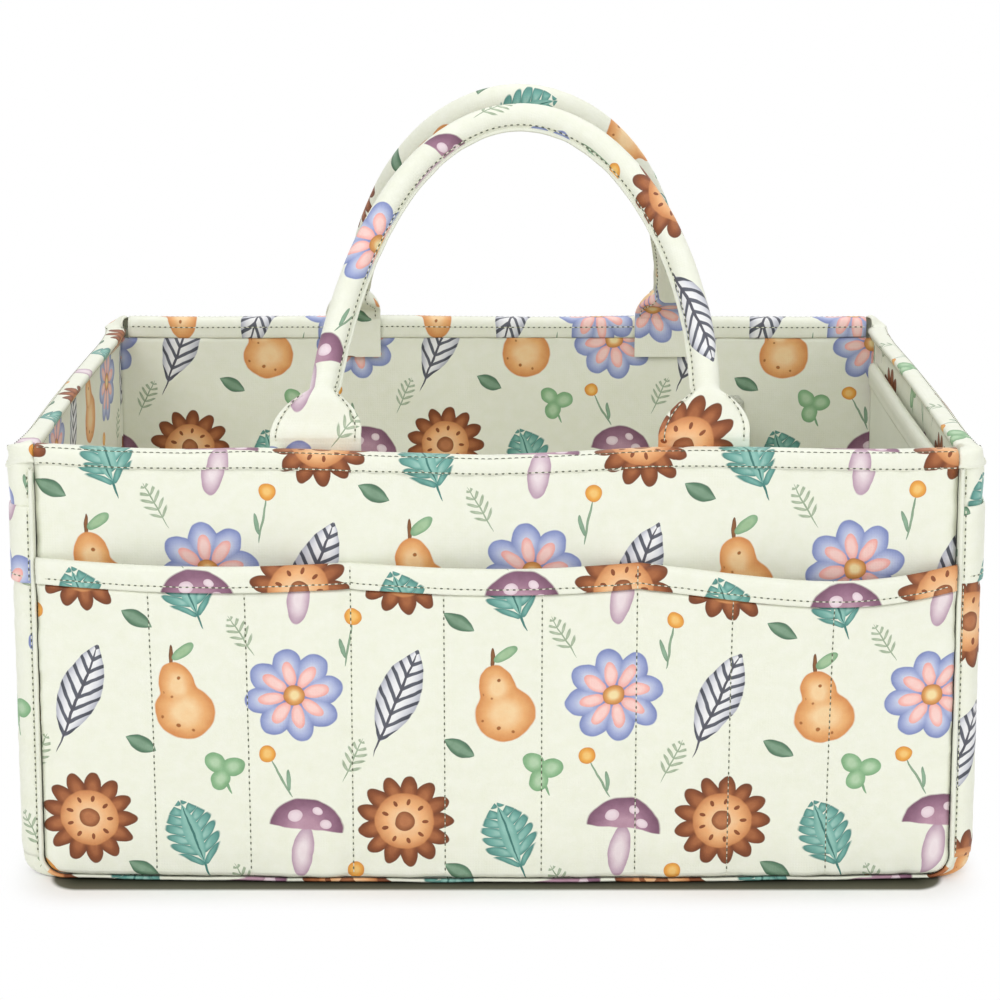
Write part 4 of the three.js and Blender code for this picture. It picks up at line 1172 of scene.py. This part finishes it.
# The cord inside each handle: soft white cotton-filled cord, round and a little fuzzy, from
# one spade to the other.
CORD_RADIUS = 4.4
CORD_SIDES = 14
CORD_FOOT = 21
cord_cotton, tree = new_finish("white_cotton_cord")
fuzz = node(tree, "TexNoise", node(tree, "TexCoord", out=3), 900.0, 4.0)
coat(
    tree,
    Base_Color=node(tree, "Mix.RGBA", fuzz, "#E4E1D6", "#F6F4EC"),
    Roughness=0.9,
    Normal=node(tree, "Bump", 0.4, 0.0005, named={"Height": fuzz}),
)
for name, side in (("front", -1), ("back", 1)):
    centre, outer, front, height_on, _ = handle_line(side)
    inside = height_on[:, 0] > CORD_FOOT
    angle = np.linspace(0, 2 * np.pi, CORD_SIDES, endpoint=False)[:, None]
    ring = np.cos(angle) * outer[inside, None] + np.sin(angle) * front[inside, None]
    points = centre[inside, None] + CORD_RADIUS * ring
    index = np.arange(len(points) * CORD_SIDES).reshape(-1, CORD_SIDES)
    ahead = np.roll(index, -1, 1)
    faces = np.stack([index[:-1], ahead[:-1], ahead[1:], index[1:]], -1).reshape(-1, 4).tolist()
    faces += [index[0, ::-1].tolist(), index[-1].tolist()]
    cord = new_piece(f"{name}_handle_cord", points.reshape(-1, 3), faces, (cord_cotton,))
    attach(cord, f"{name}_handle", "handle_core_foam", f"{name}_handle_core")

# Hook-and-loop tape: woven nylon with a pile of fine loops, in the canvas's pale green-white,
# matt and a little downy.
tape_pile, tree = new_finish("nylon_hook_and_loop_pile")
loops = node(tree, "TexVoronoi", node(tree, "UVMap", uv_map="cloth_mm"), 1.6, 2.0)
coat(
    tree,
    Base_Color=node(tree, "Mix.RGBA", loops, "#F6F7EA", "#E0E3D2"),
    Roughness=0.8,
    Sheen_Weight=0.3,
    Normal=node(tree, "Bump", 0.7, 0.0008, named={"Height": loops}),
)

# Dividers: a sleeve of the lining canvas folded over a card, sewn shut at both ends, with a
# flap of hook tape at each end. They hold to strips of loop tape and lift straight out.
CROSS_X = 112.0
DIVIDER_HALF = extent("cross_divider_cover", 0)[1] - CROSS_X
SLEEVE_EDGE = 5.0
SLEEVE_PINCH = 0.72
TAPE_CORNER = 2.5
TAPE_LIFT = 0.5


def tape(name, body):
    """A strip of tape with rounded ends, on the face of its CAD piece or on the bowed lining."""
    ends = [extent(name, axis) for axis in (0, 1, 2)]
    flat_axis = 0 if ends[0][1] - ends[0][0] < ends[1][1] - ends[1][0] else 1
    low, high = ends[1 - flat_axis]
    flat = sum(ends[flat_axis]) / 2
    wall = 1 if flat > 0 else -1
    u, z = grid(steps(-1, 1, 0.2), steps(*ends[2], 3.0))
    into_end = np.clip(np.maximum(ends[2][0] - z, z - ends[2][1]) + TAPE_CORNER, 0, TAPE_CORNER)
    across = u * ((high - low) / 2 - TAPE_CORNER + np.sqrt(TAPE_CORNER ** 2 - into_end ** 2))
    along = (low + high) / 2 + across
    off = flat + TAPE_LIFT * wall + 0 * z
    if body == "caddy" and flat_axis == 1:
        off = wall * np.minimum(np.abs(off), np.abs(end_wall(wall, along, z, LINING_OUT - 0.4)[..., 1]))
    points = np.stack([off, along, z] if flat_axis == 0 else [along, off, z], -1)
    cut_cloth(f"{name}_tape", name, points, (across, z), "hook_and_loop_tape", body,
              flip=(wall > 0) == (flat_axis == 0), finish=(tape_pile, tape_pile))


def divider(name, axis, place_at, roll, tapes):
    """A sleeve along an axis of the frame, place_at(along, off, z) giving its points."""
    low, high = extent(f"{name}_cover", axis)
    foot, top = extent(f"{name}_cover")
    turns = np.linspace(0, math.pi, 9)[1:-1]
    rise = steps(foot, top - DIVIDER_HALF, 4.0)
    z = np.concatenate([rise, top - DIVIDER_HALF * (1 - np.sin(turns)), rise[::-1]])[:, None]
    off = np.concatenate([0 * rise - 1, -np.cos(turns), 0 * rise + 1])[:, None]
    down = run_length(np.concatenate([off * DIVIDER_HALF, z], -1))[:, None]
    along = steps(low, high, 4.0)
    from_end = np.minimum(along - low, high - along)
    fullness = 0.42 + 0.58 * np.clip(from_end / 9, 0, 1) ** 0.5 - 0.12 * ridge(from_end - SLEEVE_EDGE, 1.6)
    relief = 0.95 + 0.05 * slack(along, 1.5 * z + 40 * off, len(name), 55)
    cut_cloth(f"{name}_sleeve", f"{name}_cover",
              place_at(along, off * DIVIDER_HALF * fullness * relief, z), (along + roll[0], down + roll[1]),
              LINING, name, thick=0.8, flip=axis == 0)
    # Both ends are sewn shut from each face
    row = steps(top - 3, foot + 1, 3.0)
    lines = []
    for end in (low + SLEEVE_EDGE, high - SLEEVE_EDGE):
        for face in (-1, 1):
            def pinched(a, out, z, face=face):
                return place_at(a, face * out, z)

            lines.append(sewn_row(pinched, end, SLEEVE_PINCH * DIVIDER_HALF, row))
    sew(f"{name}_stitches", lines, name, LINING)
    for tape_name, body in tapes:
        tape(tape_name, body)


def placed(*values):
    return np.stack(np.broadcast_arrays(*values), -1)


divider("cross_divider", 1, lambda a, off, z: placed(CROSS_X + off, a, z), (44.0, 9.0),
        [("cross_divider_flap_front", "cross_divider"), ("cross_divider_flap_back", "cross_divider"),
         ("loop_tape_front", "caddy"), ("loop_tape_back", "caddy")])
divider("long_divider", 0, lambda a, off, z: placed(a, off, z), (0.0, 52.0),
        [("long_divider_flap_left", "long_divider"), ("long_divider_flap_right", "long_divider"),
         ("loop_tape_left", "caddy")])
